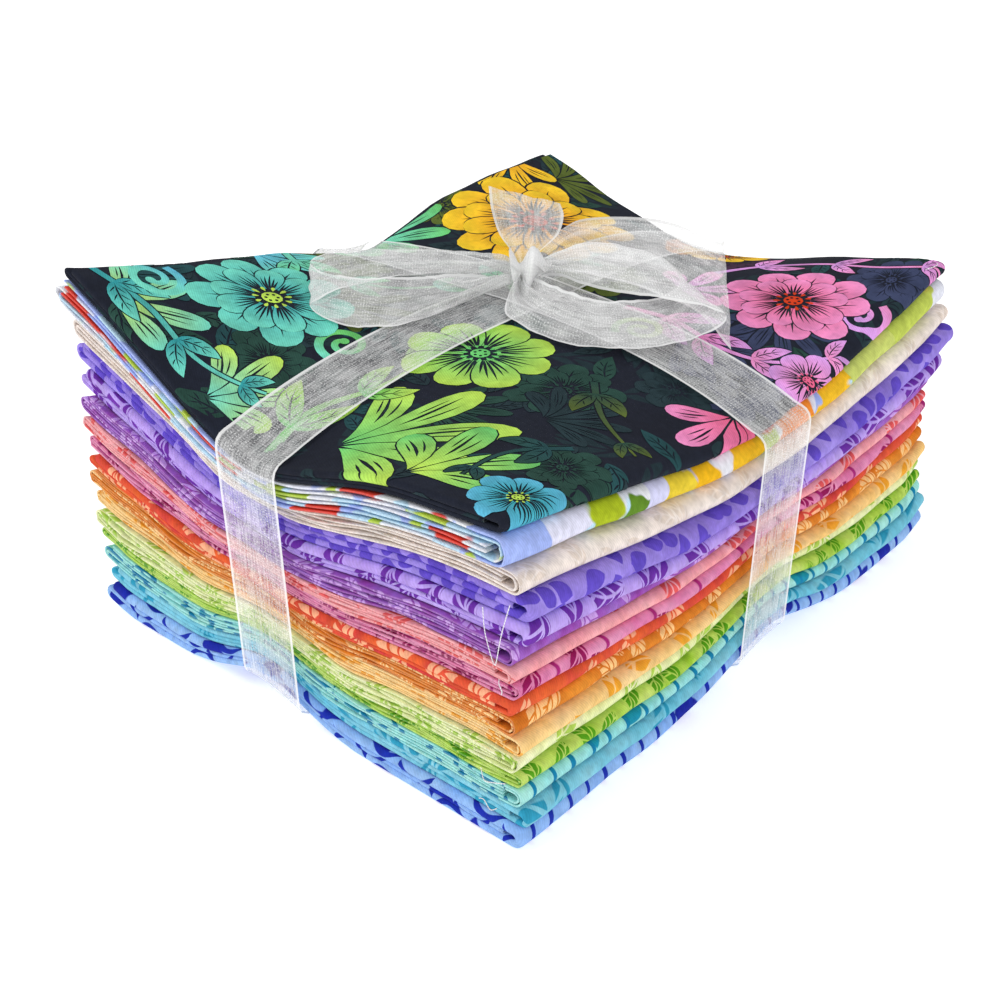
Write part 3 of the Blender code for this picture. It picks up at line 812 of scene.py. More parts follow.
class Ink:
    """Shapes of ink from the lowest to the highest, each with a colour that changes along it."""

    def __init__(self):
        self.shapes = []

    def add(self, points, first=None, last=None, start=None, end=None):
        """Adds a shape, or with no colour leaves the ground bare there."""
        start = points[0] if start is None else start
        end = points[len(points) // 2] if end is None else end
        self.shapes.append((points, first or BARE, last or first or BARE, start, end))

    def blade(self, blade, first, last, rim=0.0):
        """A blade coloured from its root to its tip, with a bare rim round it."""
        if rim:
            wider = copy.copy(blade)
            wider.rim = rim
            self.add(wider.outline())
        self.add(blade.outline(), first, last, blade.at(0.0, 0.0), blade.at(1.0, 0.0))

    def leaf(self, x, y, angle, length, width, curl, first, last, veins):
        blade = Blade(x, y, angle, length, width, curl, LEAF)
        self.blade(blade, first, last, LEAF_RIM)
        self.add(blade.slit(*MIDRIB, width * MIDRIB_WIDE))
        for index in range(veins):
            start = VEINS_FROM + VEINS_OVER * index / veins
            for side in (-1, 1):
                ends = (side * VEIN_ROOT, side * VEIN_TIP, start, start + VEIN_LONG)
                self.add(blade.slit(*ends, width * VEIN_WIDE))

    def flower(self, x, y, radius, petals, rows, turn, first, last, middle, seed):
        """Rows of petals with fine dark slits from their roots, and a dotted middle."""
        dice = np.random.default_rng(seed)
        for row in range(rows):
            reach = radius * (1.0 - ROW_SMALLER * row)
            broad = math.tau * reach * PETAL_BROAD / petals
            for index in range(petals):
                angle = turn + 360.0 * (index + 0.5 * row) / petals
                angle += dice.uniform(-PETAL_TURN, PETAL_TURN)
                length = reach * dice.uniform(*PETAL_LONG) - radius * FLOWER_HEART
                curl = dice.uniform(-PETAL_CURL, PETAL_CURL)
                root = around(x, y, angle, radius * FLOWER_HEART)
                width = broad * dice.uniform(*PETAL_WIDE)
                blade = Blade(*root, angle, length, width, curl, PETAL)
                self.blade(blade, first, last, reach * PETAL_RIM)
                for across in STREAKS:
                    end = STREAK_TO - STREAK_SHORTER * abs(across)
                    end += dice.uniform(-STREAK_STRAY, STREAK_STRAY)
                    ends = (across * STREAK_ROOT, across, STREAK_FROM, end)
                    self.add(blade.slit(*ends, reach * STREAK_BROAD))
        self.add(disc(x, y, radius * FLOWER_HOLLOW))
        for index in range(STAMENS):
            angle = 360.0 * index / STAMENS + turn
            root = around(x, y, angle, radius * STAMEN_FROM)
            length = radius * dice.uniform(*STAMEN_LONG)
            stamen = Blade(*root, angle, length, radius * STAMEN_WIDE, 0.0, LOBE)
            self.add(stamen.outline(), middle)
        self.add(disc(x, y, radius * FLOWER_HEART), middle)
        for index in range(SEEDS):
            place = around(x, y, 360.0 / SEEDS * index + turn, radius * SEEDS_OUT)
            self.add(disc(*place, radius * SEED_RADIUS))

    def plume(self, x, y, angle, fan, lobes, length, width, curl, first, last):
        """A split leaf: long lobes from one foot, the outer ones curling away, with dark slits."""
        for index in range(lobes):
            off = index / (lobes - 1) * 2 - 1
            reach = length * (1 - LOBE_SHORTER * off ** 2)
            heading = angle + off * fan / 2
            root = around(x, y, heading, length * LOBE_FOOT)
            blade = Blade(*root, heading, reach, width, curl * (LOBE_CURL + off), LOBE)
            self.blade(blade, first, last, LOBE_RIM)
            for *ends, broad in LOBE_SLITS:
                self.add(blade.slit(*ends, width * broad))

    def tendril(self, x, y, angle, radius, turns, width, first, last):
        """A spiral that winds in to a round end."""
        steps = np.linspace(0.0, 1.0, TENDRIL_STEPS)
        swing = steps * turns * math.tau
        reach = radius * (1 - TENDRIL_IN * steps)
        heading = math.radians(angle)
        along = radius - reach * np.cos(swing)
        aside = reach * np.sin(swing)
        line = np.stack(
            (
                x + along * math.cos(heading) - aside * math.sin(heading),
                y + along * math.sin(heading) + aside * math.cos(heading),
            ),
            axis=-1,
        )
        self.add(stroke(line, width, width * TENDRIL_END)[1], first, last)
        self.add(disc(*line[-1], width * TENDRIL_KNOB), last)

    def spray(self, line, width, pairs, length, broad, first, last, veins):
        """A stem with leaves on both sides, smaller towards its end."""
        path, band = stroke(line, width, width * STEM_END)
        self.add(stroke(line, width + STEM_RIM, width * STEM_END + STEM_RIM)[1])
        self.add(band, first, last)
        for index in range(pairs):
            share = SPRAY_FROM + SPRAY_OVER * index / max(1, pairs - 1)
            at = int(share * (len(path) - 2))
            step = path[at + 1] - path[at]
            heading = math.degrees(math.atan2(step[1], step[0]))
            size = 1.0 - SPRAY_SMALLER * share
            for side in (-1, 1):
                angle, curl = heading + side * SPRAY_ANGLE, side * SPRAY_CURL
                self.leaf(*path[at], angle, length * size, broad * size, curl, first, last, veins)


BARE = (-1.0, -1.0, -1.0)
ORANGE, AMBER, YELLOW = (0.90, 0.27, 0.012), (0.93, 0.42, 0.02), (0.95, 0.64, 0.03)
RED, WINE_SHADE, DIM_SHADE = (0.66, 0.05, 0.01), (0.055, 0.022, 0.050), (0.018, 0.038, 0.046)
LIME, GREEN, MOSS = (0.52, 0.76, 0.10), (0.15, 0.58, 0.16), (0.05, 0.30, 0.09)
AQUA, TEAL, SKY = (0.18, 0.70, 0.55), (0.03, 0.34, 0.38), (0.12, 0.50, 0.72)
PINK, ORCHID, ROSE = (0.90, 0.30, 0.60), (0.70, 0.34, 0.80), (0.85, 0.14, 0.28)
OLIVE_SHADE, GREEN_SHADE = (0.105, 0.145, 0.026), (0.021, 0.064, 0.050)
TEAL_SHADE, SLATE_SHADE = (0.018, 0.070, 0.078), (0.045, 0.058, 0.125)

# Dim leaves all over the ground, a little uneven in place, turn and size
GROUND_SEED = 7
GROUND_PITCH, GROUND_STRAY = 18.0, 5.0
GROUND_LONG, GROUND_WIDE, GROUND_CURL, GROUND_VEINS = (14.0, 19.0), 0.42, 40.0, 3
GROUND_SHADES = (DIM_SHADE, GREEN_SHADE, DIM_SHADE, TEAL_SHADE)
SHADOW_FLOWERS = (
    # x, y, radius, petals, colour
    (-70, -18, 17, 9, OLIVE_SHADE),
    (-34, -86, 15, 8, GREEN_SHADE),
    (-2, 40, 17, 9, OLIVE_SHADE),
    (74, 12, 17, 9, SLATE_SHADE),
    (18, 96, 17, 10, WINE_SHADE),
    (46, -38, 19, 9, GREEN_SHADE),
    (-84, 46, 14, 8, OLIVE_SHADE),
    (78, -78, 14, 8, GREEN_SHADE),
    (80, 98, 15, 9, SLATE_SHADE),
    (0, -8, 14, 8, TEAL_SHADE),
    (66, -8, 13, 8, DIM_SHADE),
)
SHADOW_PLUMES = (
    # x, y, angle, fan, lobes, length, width, curl, colour
    (-26, -34, 205, 120, 7, 27, 5.5, 40, TEAL_SHADE),
    (46, 20, 20, 130, 7, 30, 5.5, 40, SLATE_SHADE),
    (20, -72, 350, 110, 7, 28, 5.5, 40, GREEN_SHADE),
    (-72, 100, 60, 120, 6, 26, 5.5, 40, OLIVE_SHADE),
    (-82, -100, 100, 110, 6, 26, 5.5, 40, TEAL_SHADE),
    (62, 58, 300, 120, 7, 26, 5.5, 40, SLATE_SHADE),
    (54, -58, 60, 120, 7, 26, 5.0, 40, DIM_SHADE),
    (-46, -46, 60, 140, 7, 26, 5.5, 40, OLIVE_SHADE),
)
FLOWERS = (
    # x, y, radius, petals, rows, turn, root, tip, middle
    (-50, 62, 37, 10, 2, 8, ORANGE, YELLOW, RED),
    (6, 106, 18, 8, 1, 0, AMBER, YELLOW, RED),
    (-58, -62, 27, 9, 2, 4, TEAL, AQUA, LIME),
    (10, -36, 25, 8, 1, 14, GREEN, LIME, GREEN),
    (60, 68, 26, 9, 2, 20, ROSE, PINK, RED),
    (84, -104, 14, 7, 1, 10, TEAL, SKY, LIME),
    (88, 34, 13, 7, 1, 0, PINK, ORCHID, ROSE),
    (-90, 4, 15, 7, 1, 0, AQUA, GREEN, LIME),
)
PLUMES = (
    # x, y, angle, fan, lobes, length, width, curl, root, tip
    (-92, 12, 70, 100, 5, 34, 8.5, 46, AQUA, GREEN),
    (-20, 104, 20, 100, 5, 34, 9.0, 46, ORANGE, AMBER),
    (-92, 98, 300, 80, 4, 30, 8.0, 40, AMBER, YELLOW),
    (-90, -44, 40, 80, 4, 27, 7.5, 40, SKY, AQUA),
    (14, -104, 32, 92, 5, 52, 13.0, 46, GREEN, LIME),
    (50, -112, 68, 80, 4, 38, 11.0, 40, LIME, GREEN),
    (84, -2, 300, 110, 5, 30, 8.0, 46, ROSE, PINK),
    (24, 50, 60, 100, 4, 26, 7.5, 46, ORCHID, PINK),
    (-34, -112, 64, 70, 4, 30, 8.0, 40, AQUA, LIME),
    (-74, -114, 62, 90, 4, 30, 8.5, 44, LIME, AQUA),
)
SPRAYS = (
    # line, width, pairs, leaf length, leaf width, root, tip, veins
    (((-92, -28), (-76, -36), (-58, -32), (-42, -20), (-34, 0)), 3.0, 3, 21, 8.5, AQUA, GREEN, 3),
    (((-90, -112), (-68, -103), (-46, -107), (-24, -96)), 2.8, 3, 19, 8.0, TEAL, AQUA, 3),
    (((-6, -112), (-10, -90), (2, -70), (-2, -46)), 3.6, 3, 25, 9.5, GREEN, LIME, 3),
    (((20, 26), (38, 30), (58, 24), (76, 30), (92, 56)), 3.0, 4, 22, 8.5, PINK, ORCHID, 3),
    (((24, 74), (32, 94), (50, 106), (72, 104), (92, 112)), 2.8, 3, 19, 7.5, ORCHID, PINK, 3),
    (((-16, 10), (-30, 22), (-28, 40), (-14, 52)), 2.6, 2, 20, 8.0, GREEN, AQUA, 3),
    (((48, -26), (64, -44), (84, -52)), 2.4, 2, 17, 7.0, GREEN_SHADE, OLIVE_SHADE, 2),
    (((72, -66), (60, -84), (64, -104)), 2.4, 2, 17, 7.0, TEAL_SHADE, GREEN_SHADE, 2),
)
TENDRILS = (
    # x, y, angle, radius, turns, width, start, end
    (-84, -84, 300, 10, 1.5, 3.2, SKY, AQUA),
    (86, 82, 250, 9, 1.4, 2.8, PINK, ORCHID),
    (-24, -70, 100, 9, 1.4, 3.0, AQUA, GREEN),
    (30, 8, 60, 9, 1.4, 2.8, GREEN, LIME),
)

ink = Ink()
dice = np.random.default_rng(GROUND_SEED)
for column in np.arange(-HALF_X / MM, HALF_X / MM + GROUND_PITCH, GROUND_PITCH):
    for row in np.arange(-HALF_Y / MM, HALF_Y / MM + GROUND_PITCH, GROUND_PITCH):
        x, y = dice.uniform(-GROUND_STRAY, GROUND_STRAY, 2) + (column, row)
        shade = GROUND_SHADES[dice.integers(len(GROUND_SHADES))]
        length = dice.uniform(*GROUND_LONG)
        angle, curl = dice.uniform(0.0, 360.0), dice.uniform(-GROUND_CURL, GROUND_CURL)
        ink.leaf(x, y, angle, length, length * GROUND_WIDE, curl, shade, shade, GROUND_VEINS)
for seed, (x, y, radius, petals, colour) in enumerate(SHADOW_FLOWERS):
    ink.flower(x, y, radius, petals, 2, 0.0, colour, colour, colour, seed)
for *shape, colour in SHADOW_PLUMES:
    ink.plume(*shape, colour, colour)
for plume in PLUMES:
    ink.plume(*plume)
for spray in SPRAYS:
    ink.spray(*spray)
for tendril in TENDRILS:
    ink.tendril(*tendril)
for seed, flower in enumerate(FLOWERS):
    ink.flower(*flower, seed)

# The skin reaches from the top sheet's end over the spine, and from the raw edge round the fold
INK_MARGIN = 0.3
BENDS_BEFORE_SPINE, BENDS_BEFORE_FOLD = 3.0, 14.0
CUT_CLOSENESS = 0.01
black = folded[0]
top_end_x = black.ends_x + TOP_SHEET_SHORT
ink_low = np.array((top_end_x, black.fold_y - black.round_run)) / MM + (INK_MARGIN, 0.0)
ink_high = np.array((black.spine_x, black.raw_y)) / MM + (OVER_SPINE, -INK_MARGIN)


def inside(places, outline):
    """Which of the places lie inside a closed outline."""
    x, y = places[:, :1], places[:, 1:]
    (from_x, from_y), (to_x, to_y) = outline.T, np.roll(outline, -1, axis=0).T
    crossed = (from_y > y) != (to_y > y)
    rise = np.where(to_y == from_y, 1.0, to_y - from_y)
    left_of = x < from_x + (y - from_y) * (to_x - from_x) / rise
    return np.sum(crossed & left_of, axis=1) % 2 == 1


# The outlines cut the skin into triangles, and so do the cloth's own lines where it bends, so that
# the ink follows the cloth round its spine and its halving fold
bend_x = (black.length - black.path_s + top_end_x) / MM
bends_from = ink_high[0] - OVER_SPINE - BENDS_BEFORE_SPINE
bend_x = bend_x[(bend_x > bends_from) & (bend_x < ink_high[0])]
bend_y = (black.raw_y - black.rows()) / MM
bend_y = bend_y[(bend_y < ink_low[1] + BENDS_BEFORE_FOLD) & (bend_y > ink_low[1])]
lines = [((x, ink_low[1]), (x, ink_high[1])) for x in (ink_low[0], *bend_x, ink_high[0])]
lines += [((ink_low[0], y), (ink_high[0], y)) for y in (ink_low[1], *bend_y, ink_high[1])]
points, edges = [], []
for outline in [shape[0] for shape in ink.shapes] + [np.array(line) for line in lines]:
    numbers = np.arange(len(outline)) + len(points)
    edges += zip(numbers.tolist(), np.roll(numbers, -1).tolist())
    points += outline.tolist()
grid_x, grid_y = (np.arange(ink_low[i], ink_high[i], INK_GRID) for i in range(2))
points += [(x, y) for x in grid_x for y in grid_y]
places = [Vector(place) for place in points]
cut = delaunay_2d_cdt(places, edges, [], 0, CUT_CLOSENESS, False)
flat = np.array([tuple(place) for place in cut[0]])
triangles = np.array(cut[2])
middles = flat[triangles].mean(axis=1)
order = np.argsort(middles[:, 0])
across = middles[order, 0]
owner = np.full(len(triangles), -1)
for number, (outline, *_) in enumerate(ink.shapes):
    low, high = outline.min(axis=0), outline.max(axis=0)
    near = order[np.searchsorted(across, low[0]):np.searchsorted(across, high[0])]
    near = near[(middles[near, 1] > low[1]) & (middles[near, 1] < high[1])]
    owner[near[inside(middles[near], outline)]] = number
firsts, lasts, begins, ends = (np.array([shape[i] for shape in ink.shapes]) for i in range(1, 5))
on_cloth = np.all((middles > ink_low) & (middles < ink_high), axis=1)
coloured = on_cloth & (owner >= 0) & (firsts[owner, 0] >= 0.0)
kept, owner = triangles[coloured], owner[coloured]
reach = ends[owner] - begins[owner]
share = np.einsum("tcx,tx->tc", flat[kept] - begins[owner][:, None], reach)
share = np.clip(share / np.sum(reach ** 2, axis=1)[:, None], 0.0, 1.0)[..., None]
rgb = firsts[owner][:, None] * (1 - share) + lasts[owner][:, None] * share
corner_colours = np.concatenate((rgb, np.ones_like(share)), axis=-1)
used, kept = np.unique(kept, return_inverse=True)
flat, kept = flat[used], kept.reshape(-1, 3)
ink_s = black.length - (flat[:, 0] * MM - top_end_x)
ink_t = black.raw_y - flat[:, 1] * MM
skin = bpy.data.meshes.new("cotton_01_print_skin")
skin.from_pydata(black.place(ink_s, ink_t, INK_LIFT), [], kept.tolist())
coordinates = skin.uv_layers.new(name="cloth")
flat_uv = np.stack((ink_s, ink_t), axis=-1)
coordinates.data.foreach_set("uv", flat_uv[kept.ravel()].ravel())
colours = skin.color_attributes.new(INK_ATTRIBUTE, "FLOAT_COLOR", "CORNER")
colours.data.foreach_set("color", corner_colours.astype(np.float32).ravel())
skin.shade_smooth()
printed = put("cotton_01_print_skin", skin)

# The ink's painted shade in the weave's low places, mixed with uneven thread tone, and its watery patches
INK_WEAVE_SHADE_TONES = (0.76, 1.18)
INK_WATERY = (0.36, 0.80)
INK_WASH = 0.007
INK_SEED = 0.5
material, tree, shader, cloth = new_material("cotton_01_ink", COTTON_ROUGHNESS)
inked = add_node(tree, "ShaderNodeAttribute", attribute_name=INK_ATTRIBUTE).outputs["Color"]
inked = dyed(tree, cloth, shader, inked, INK_WEAVE_SHADE_TONES, INK_WATERY, INK_WASH, INK_SEED)
tree.links.new(inked, shader.inputs["Base Color"])
shader.inputs["Specular IOR Level"].default_value = COTTON_SPECULAR
skin.materials.append(material)
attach(printed, "root")


# The ribbon's two turns
# One sheer white organza ribbon, 26 mm wide, goes once round the heap each way and crosses itself
# on top and below. It is woven with a close white selvage along both edges.
TURN_COLUMNS = 8
TOP_STEPS = 116
SIDE_STEPS = 44
ROUND_PASSES = 2
SIDE_OFF = 0.0050
SIDE_ROUND = 0.0020
INNER_OVERHANGS = (0.0028, 0.0)
OUTER_OVERHANGS = (-0.0040, 0.0028)
TIGHT_OFF = 0.0018
TIGHT_FROM = 0.92
LEAN_REACH = 0.040
INNER_LEANS = (3.0, 8.0, 0.0, 0.0)
OUTER_LEANS = (-12.0, -8.0, -4.0, -9.0)
INNER_OFF = 0.0010
OUTER_OFF = 0.0016
UNDER_INNER = 0.0006
UNDER_OUTER = 0.0012
SELVAGE = 0.0011
RIBBON_ROUGHNESS = 0.42


# The organza's look: how much of what is behind its threads and selvages cover, its weave's ribs, and
# painted sheen and painted glints that make it more opaque and whiter
VEIL = (0.08, 0.72)
BOW_VEIL = (0.26, 0.77)
KNOT_VEIL = (0.74, 0.98)
VEIL_RANGE = (0.30, 0.80)
SELVAGE_COVER = 0.80
SELVAGE_SOFT = 0.0003
RIB_PITCH = 0.0009
# Painted sheen: long streaks along the ribbon and broad patches. Painted glints: fine bright specks of
# thread
SHEEN_STREAK_WIDE = 0.0007
SHEEN_STREAK_LONG = 0.010
SHEEN_SIZE = 0.007
SHEEN_SEED = 3.0
GLINT_SIZE = 0.0005
GLINTS = (0.62, 0.05)
SHEEN_STREAK_SHARE, SHEEN_SHARE, RIBBON_RIB_SHARE, GLINT_SHARE, COVER_FROM = 0.62, 0.14, 0.04, 0.36, 0.12
WHITES = (0.2, 0.9, 0.90, 0.98)
ORGANZA_BUMP = (0.4, 0.0002)


def sheer_organza(name, veil):
    """Sheer woven ribbon: ribs, a close white selvage, and painted sheen in long streaks and broad
    patches with painted glints, which make it more opaque and whiter where they fall.
    """
    material, tree, shader, cloth = new_material(name, RIBBON_ROUGHNESS)
    across, along, _ = split(tree, cloth)
    from_middle = calc(tree, "ABSOLUTE", calc(tree, "SUBTRACT", across, RIBBON_WIDTH / 2))
    selvage = above(tree, from_middle, RIBBON_WIDTH / 2 - SELVAGE, SELVAGE_SOFT)
    ribs = calc(tree, "SINE", calc(tree, "MULTIPLY", along, math.tau / RIB_PITCH))
    scale = (1 / SHEEN_STREAK_WIDE, 1 / SHEEN_STREAK_LONG, 1.0)
    stretched = add_node(tree, "ShaderNodeMapping", {"Vector": cloth, "Scale": scale}).outputs[0]
    # Painted sheen in broad patches and in streaks along the ribbon, and painted glints, added to the
    # weave's ribs: the veil is more opaque where they fall
    sheen = blotches(tree, cloth, SHEEN_SIZE, SHEEN_SEED, 1.0)
    cover_and_sheen = calc(tree, "MULTIPLY_ADD", sheen, SHEEN_SHARE, COVER_FROM)
    for part, share in (
        (noise(tree, stretched, 1.0, 2.0), SHEEN_STREAK_SHARE),
        (ribs, RIBBON_RIB_SHARE),
        (above(tree, noise(tree, cloth, GLINT_SIZE, 1.0), *GLINTS), GLINT_SHARE),
    ):
        cover_and_sheen = calc(tree, "MULTIPLY_ADD", part, share, cover_and_sheen)
    covered = spread(tree, cover_and_sheen, *VEIL_RANGE, *veil)
    edges = calc(tree, "MULTIPLY", selvage, SELVAGE_COVER)
    opaque = calc(tree, "MAXIMUM", covered, edges, clamp=True)
    tree.links.new(opaque, shader.inputs["Alpha"])
    # The base colour is whiter where the painted sheen and painted glints fall
    tree.links.new(grey(tree, spread(tree, cover_and_sheen, *WHITES)), shader.inputs["Base Color"])
    raised(tree, shader, cover_and_sheen, *ORGANZA_BUMP)
    return material


sheer = sheer_organza("ribbon_organza", VEIL)
sheer_bow = sheer_organza("ribbon_organza_bow", BOW_VEIL)
sheer_knot = sheer_organza("ribbon_organza_knot", KNOT_VEIL)


def turn_of_ribbon(name, across_is_x, half, overhangs, off, under_off, leans, node):
    """A strip over the top, down one side, under the heap and up the other side, closed.

    overhangs are how far it runs straight past the common size at the top of its two sides. Where
    it stops short it is drawn in there. leans are how far it has slid sideways in mm: at the top
    and the foot of its first side, then of its second side. It doesn't slide at the crossings.
    """
    middle, crossing = (CROSS_X, CROSS_Y) if across_is_x else (CROSS_Y, CROSS_X)
    first_top, first_foot, second_top, second_foot = (lean * MM for lean in leans)
    run = np.linspace(-half - overhangs[0], half + overhangs[1], TOP_STEPS)
    below = np.linspace(SIDE_OFF - half, half - SIDE_OFF, TOP_STEPS)
    top_lean = np.interp(run, (-half, crossing, half), (first_top, 0.0, second_top))
    feet = (first_foot, 0.0, 0.0, second_foot)
    foot_lean = np.interp(below, (-half, LEAN_REACH - half, half - LEAN_REACH, half), feet)
    down = np.linspace(0.0, 1.0, SIDE_STEPS)
    top_offs = [SIDE_OFF if overhang > 0 else overhang + TIGHT_OFF for overhang in overhangs]
    first_side, second_side = (
        half + np.interp(down, (TIGHT_FROM, 1.0), (SIDE_OFF, top_off)) for top_off in top_offs
    )
    strips = []
    for share in np.linspace(-0.5, 0.5, TURN_COLUMNS + 1):
        edge = middle + share * RIBBON_WIDTH
        over_at, under_at = edge + top_lean, edge + foot_lean
        if across_is_x:
            over, under = top_surface(over_at, run), bottom_surface(under_at, below)
        else:
            over, under = top_surface(run, over_at), bottom_surface(below, under_at)
        over, under = over + off, under - under_off
        high, low = over - SIDE_ROUND, under + SIDE_ROUND
        far_at = over_at[-1] + (under_at[-1] - over_at[-1]) * down
        near_at = under_at[0] + (over_at[0] - under_at[0]) * down
        parts = (
            (run, over_at, over),
            (second_side[::-1], far_at, high[-1] + (low[-1] - high[-1]) * down),
            (below[::-1], under_at[::-1], under[::-1]),
            (-first_side, near_at, low[0] + (high[0] - low[0]) * down),
        )
        line = np.concatenate([np.stack(part, axis=-1) for part in parts])
        for _ in range(ROUND_PASSES):
            line = (np.roll(line, 1, axis=0) + 2 * line + np.roll(line, -1, axis=0)) / 4
        strips.append(line[:, (1, 0, 2)] if across_is_x else line)
    points = np.stack(strips)
    points = np.concatenate((points, points[:, :1]), axis=1)
    length = run_length(points[TURN_COLUMNS // 2])
    strip = grid_mesh(name, points, np.linspace(0.0, RIBBON_WIDTH, TURN_COLUMNS + 1), length)
    strip.data.materials.append(sheer)
    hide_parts(node)
    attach(strip, "root")


turn_of_ribbon(
    "ribbon_inner_turn", True, HALF_Y, INNER_OVERHANGS, INNER_OFF, UNDER_INNER, INNER_LEANS,
    "ribbon_band_inner",
)
turn_of_ribbon(
    "ribbon_outer_turn", False, HALF_X, OUTER_OVERHANGS, OUTER_OFF, UNDER_OUTER, OUTER_LEANS,
    "ribbon_band_outer",
)


# The bow
# The ribbon's ends are tied over the crossing in a bow with two loops, a long tail cut on a slant
# to the right and a short one that stands up. It is gathered in fine pleats at the knot.
BOW_TURN = math.radians(40.0)
KNOT_BASE = 0.1101
# Rows give a section's middle along, across and above the knot's middle, then half its visible
# width as a vector the same way, all in mm.
LOOP_LEFT = (
    (-4.5, 1.0, 1.0, 0.0, 2.6, 0.0),
    (-9.5, 0.0, 2.8, 0.0, 3.4, -1.0),
    (-16.0, 0.8, 3.0, 0.0, 5.0, -2.2),
    (-32.0, 2.8, 3.9, 0.0, 6.8, -2.6),
    (-50.0, 5.5, 4.0, 0.0, 8.8, -3.0),
    (-65.0, 10.5, 3.2, 1.0, 11.0, -3.4),
    (-71.5, 16.5, 1.6, 1.5, 12.0, -3.2),
    (-67.5, 22.5, -0.2, 1.0, 12.4, -3.0),
    (-55.5, 26.5, -0.6, 0.0, 12.6, -3.2),
    (-40.0, 24.5, -0.9, -1.0, 12.2, -3.0),
    (-24.0, 15.8, -1.2, -1.5, 9.0, -2.2),
    (-10.5, 6.5, -1.6, -1.0, 3.6, -0.5),
    (-5.0, 4.0, -1.0, -1.0, 2.6, 0.0),
)
LOOP_RIGHT = (
    (-1.0, 5.5, 0.0, -2.6, 1.0, -0.4),
    (-1.5, 10.0, -1.8, -4.5, 2.4, -0.8),
    (2.0, 20.0, -2.4, -8.0, 6.5, -1.6),
    (12.0, 31.0, -2.8, -4.0, 11.0, -2.6),
    (24.0, 36.5, -2.8, 0.0, 12.4, -2.6),
    (38.0, 36.0, -3.0, 2.5, 12.2, -2.4),
    (51.0, 31.0, -2.2, 5.5, 11.4, -2.0),
    (58.0, 25.5, 1.4, 6.5, 11.0, -1.6),
    (51.0, 21.0, 5.2, 5.0, 11.0, -3.0),
    (36.0, 14.2, 6.0, 1.5, 10.8, -3.8),
    (20.0, 6.0, 5.0, 0.0, 8.5, -3.5),
    (9.8, 2.5, 3.0, 0.0, 3.6, -1.0),
    (4.5, 2.0, 1.2, 0.0, 2.6, -0.4),
)
TAIL_RIGHT = (
    (3.0, -1.0, 1.0, 0.0, 1.4, -2.6),
    (6.3, -3.0, 2.6, 0.0, 1.8, -3.6),
    (13.0, -7.5, 4.8, 0.0, 2.8, -6.6),
    (21.0, -10.0, 4.8, 0.0, 3.5, -8.8),
    (37.0, -6.0, 4.8, 0.0, 4.8, -10.4),
    (48.0, 0.5, 4.4, -2.0, 6.2, -10.6),
    (60.5, 13.0, 3.4, -3.0, 9.0, -9.0),
    (65.9, 24.5, 2.4, 0.5, 15.5, -12.6),
)
TAIL_UP = (
    (-0.5, 0.5, 2.0, 2.6, 0.0, 0.0),
    (-0.5, -1.0, 4.8, 3.4, 0.0, 0.0),
    (0.5, -3.0, 11.5, 9.8, 0.5, 0.0),
    (0.3, -4.0, 19.0, 12.2, 0.5, -1.0),
    (-0.8, -4.5, 25.2, 12.0, 0.5, -2.6),
)
BOW_STEPS = 7
BOW_COLUMNS = 26
BOW_REST = 0.0012
PLEATS = 2.5
PLEAT_SHARE = 0.8
PLEAT_DRIFT = 0.015
CRINKLE = 0.5
CRINKLE_ACROSS = 0.013
CRINKLE_LONGEST, CRINKLE_SHORTEST = 0.03, 0.005


def between(rows, steps):
    """Rows with smooth ones put between them, each passing through its own."""
    rows = np.array(rows)
    made = []
    last = len(rows) - 1
    for index in range(last):
        p, a, b, n = rows[max(0, index - 1)], rows[index], rows[index + 1], rows[min(last, index + 2)]
        for t in np.arange(steps) / steps:
            bend = (2 * p - 5 * a + 4 * b - n) * t ** 2 + (3 * a - p - 3 * b + n) * t ** 3
            made.append(0.5 * (2 * a + (b - p) * t + bend))
    made.append(rows[-1])
    return np.array(made)


def bow_to_bundle(places):
    """Places given in mm along, across and above the knot's middle, in the bundle's axes."""
    along, across, up = (places[..., i] * MM for i in range(3))
    x = CROSS_X + along * math.cos(BOW_TURN) + across * math.sin(BOW_TURN)
    y = CROSS_Y + along * math.sin(BOW_TURN) - across * math.cos(BOW_TURN)
    return np.stack((x, y, KNOT_BASE + up), axis=-1)


def gathered_ribbon(name, rows, node, seed, pleats=PLEATS, crinkle=CRINKLE, look=sheer_bow):
    """A length of the ribbon through the rows, pleated where it is narrower than it is wide.

    Where it would sink into the top cotton it lies on it.
    """
    sections = between(rows, BOW_STEPS)
    middle, half = sections[:, :3], sections[:, 3:]
    normal = unit(np.cross(np.gradient(middle, axis=0), half))
    real = RIBBON_WIDTH / MM / 2
    shown = np.minimum(np.linalg.norm(half, axis=1), real)
    deep = np.sqrt(real ** 2 - shown ** 2) / (2 * pleats) * PLEAT_SHARE
    share = np.linspace(-1.0, 1.0, BOW_COLUMNS + 1)[:, None]
    steps = run_length(middle)
    wave = np.cos(share * math.pi * pleats + seed + PLEAT_DRIFT * steps)
    places = (share * CRINKLE_ACROSS, steps[None, :] * MM)
    rough = waves(*places, 0.0, seed, CRINKLE_LONGEST, CRINKLE_SHORTEST)
    push = deep * wave + crinkle * rough
    placed = bow_to_bundle(middle + share[..., None] * half + push[..., None] * normal)
    resting = top_surface(placed[..., 0], placed[..., 1]) + BOW_REST
    placed[..., 2] = np.maximum(placed[..., 2], resting)
    across = np.linspace(0.0, RIBBON_WIDTH, BOW_COLUMNS + 1)
    strip = grid_mesh(name, placed, across, steps * MM)
    strip.data.materials.append(look)
    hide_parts(node)
    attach(strip, "root")


gathered_ribbon("ribbon_bow_loop_left", LOOP_LEFT, "ribbon_loop_left", 1)
gathered_ribbon("ribbon_bow_loop_right", LOOP_RIGHT, "ribbon_loop_right", 2)
gathered_ribbon("ribbon_bow_tail_right", TAIL_RIGHT, "ribbon_tail_right", 3)
gathered_ribbon("ribbon_bow_tail_up", TAIL_UP, "ribbon_tail_up", 4)

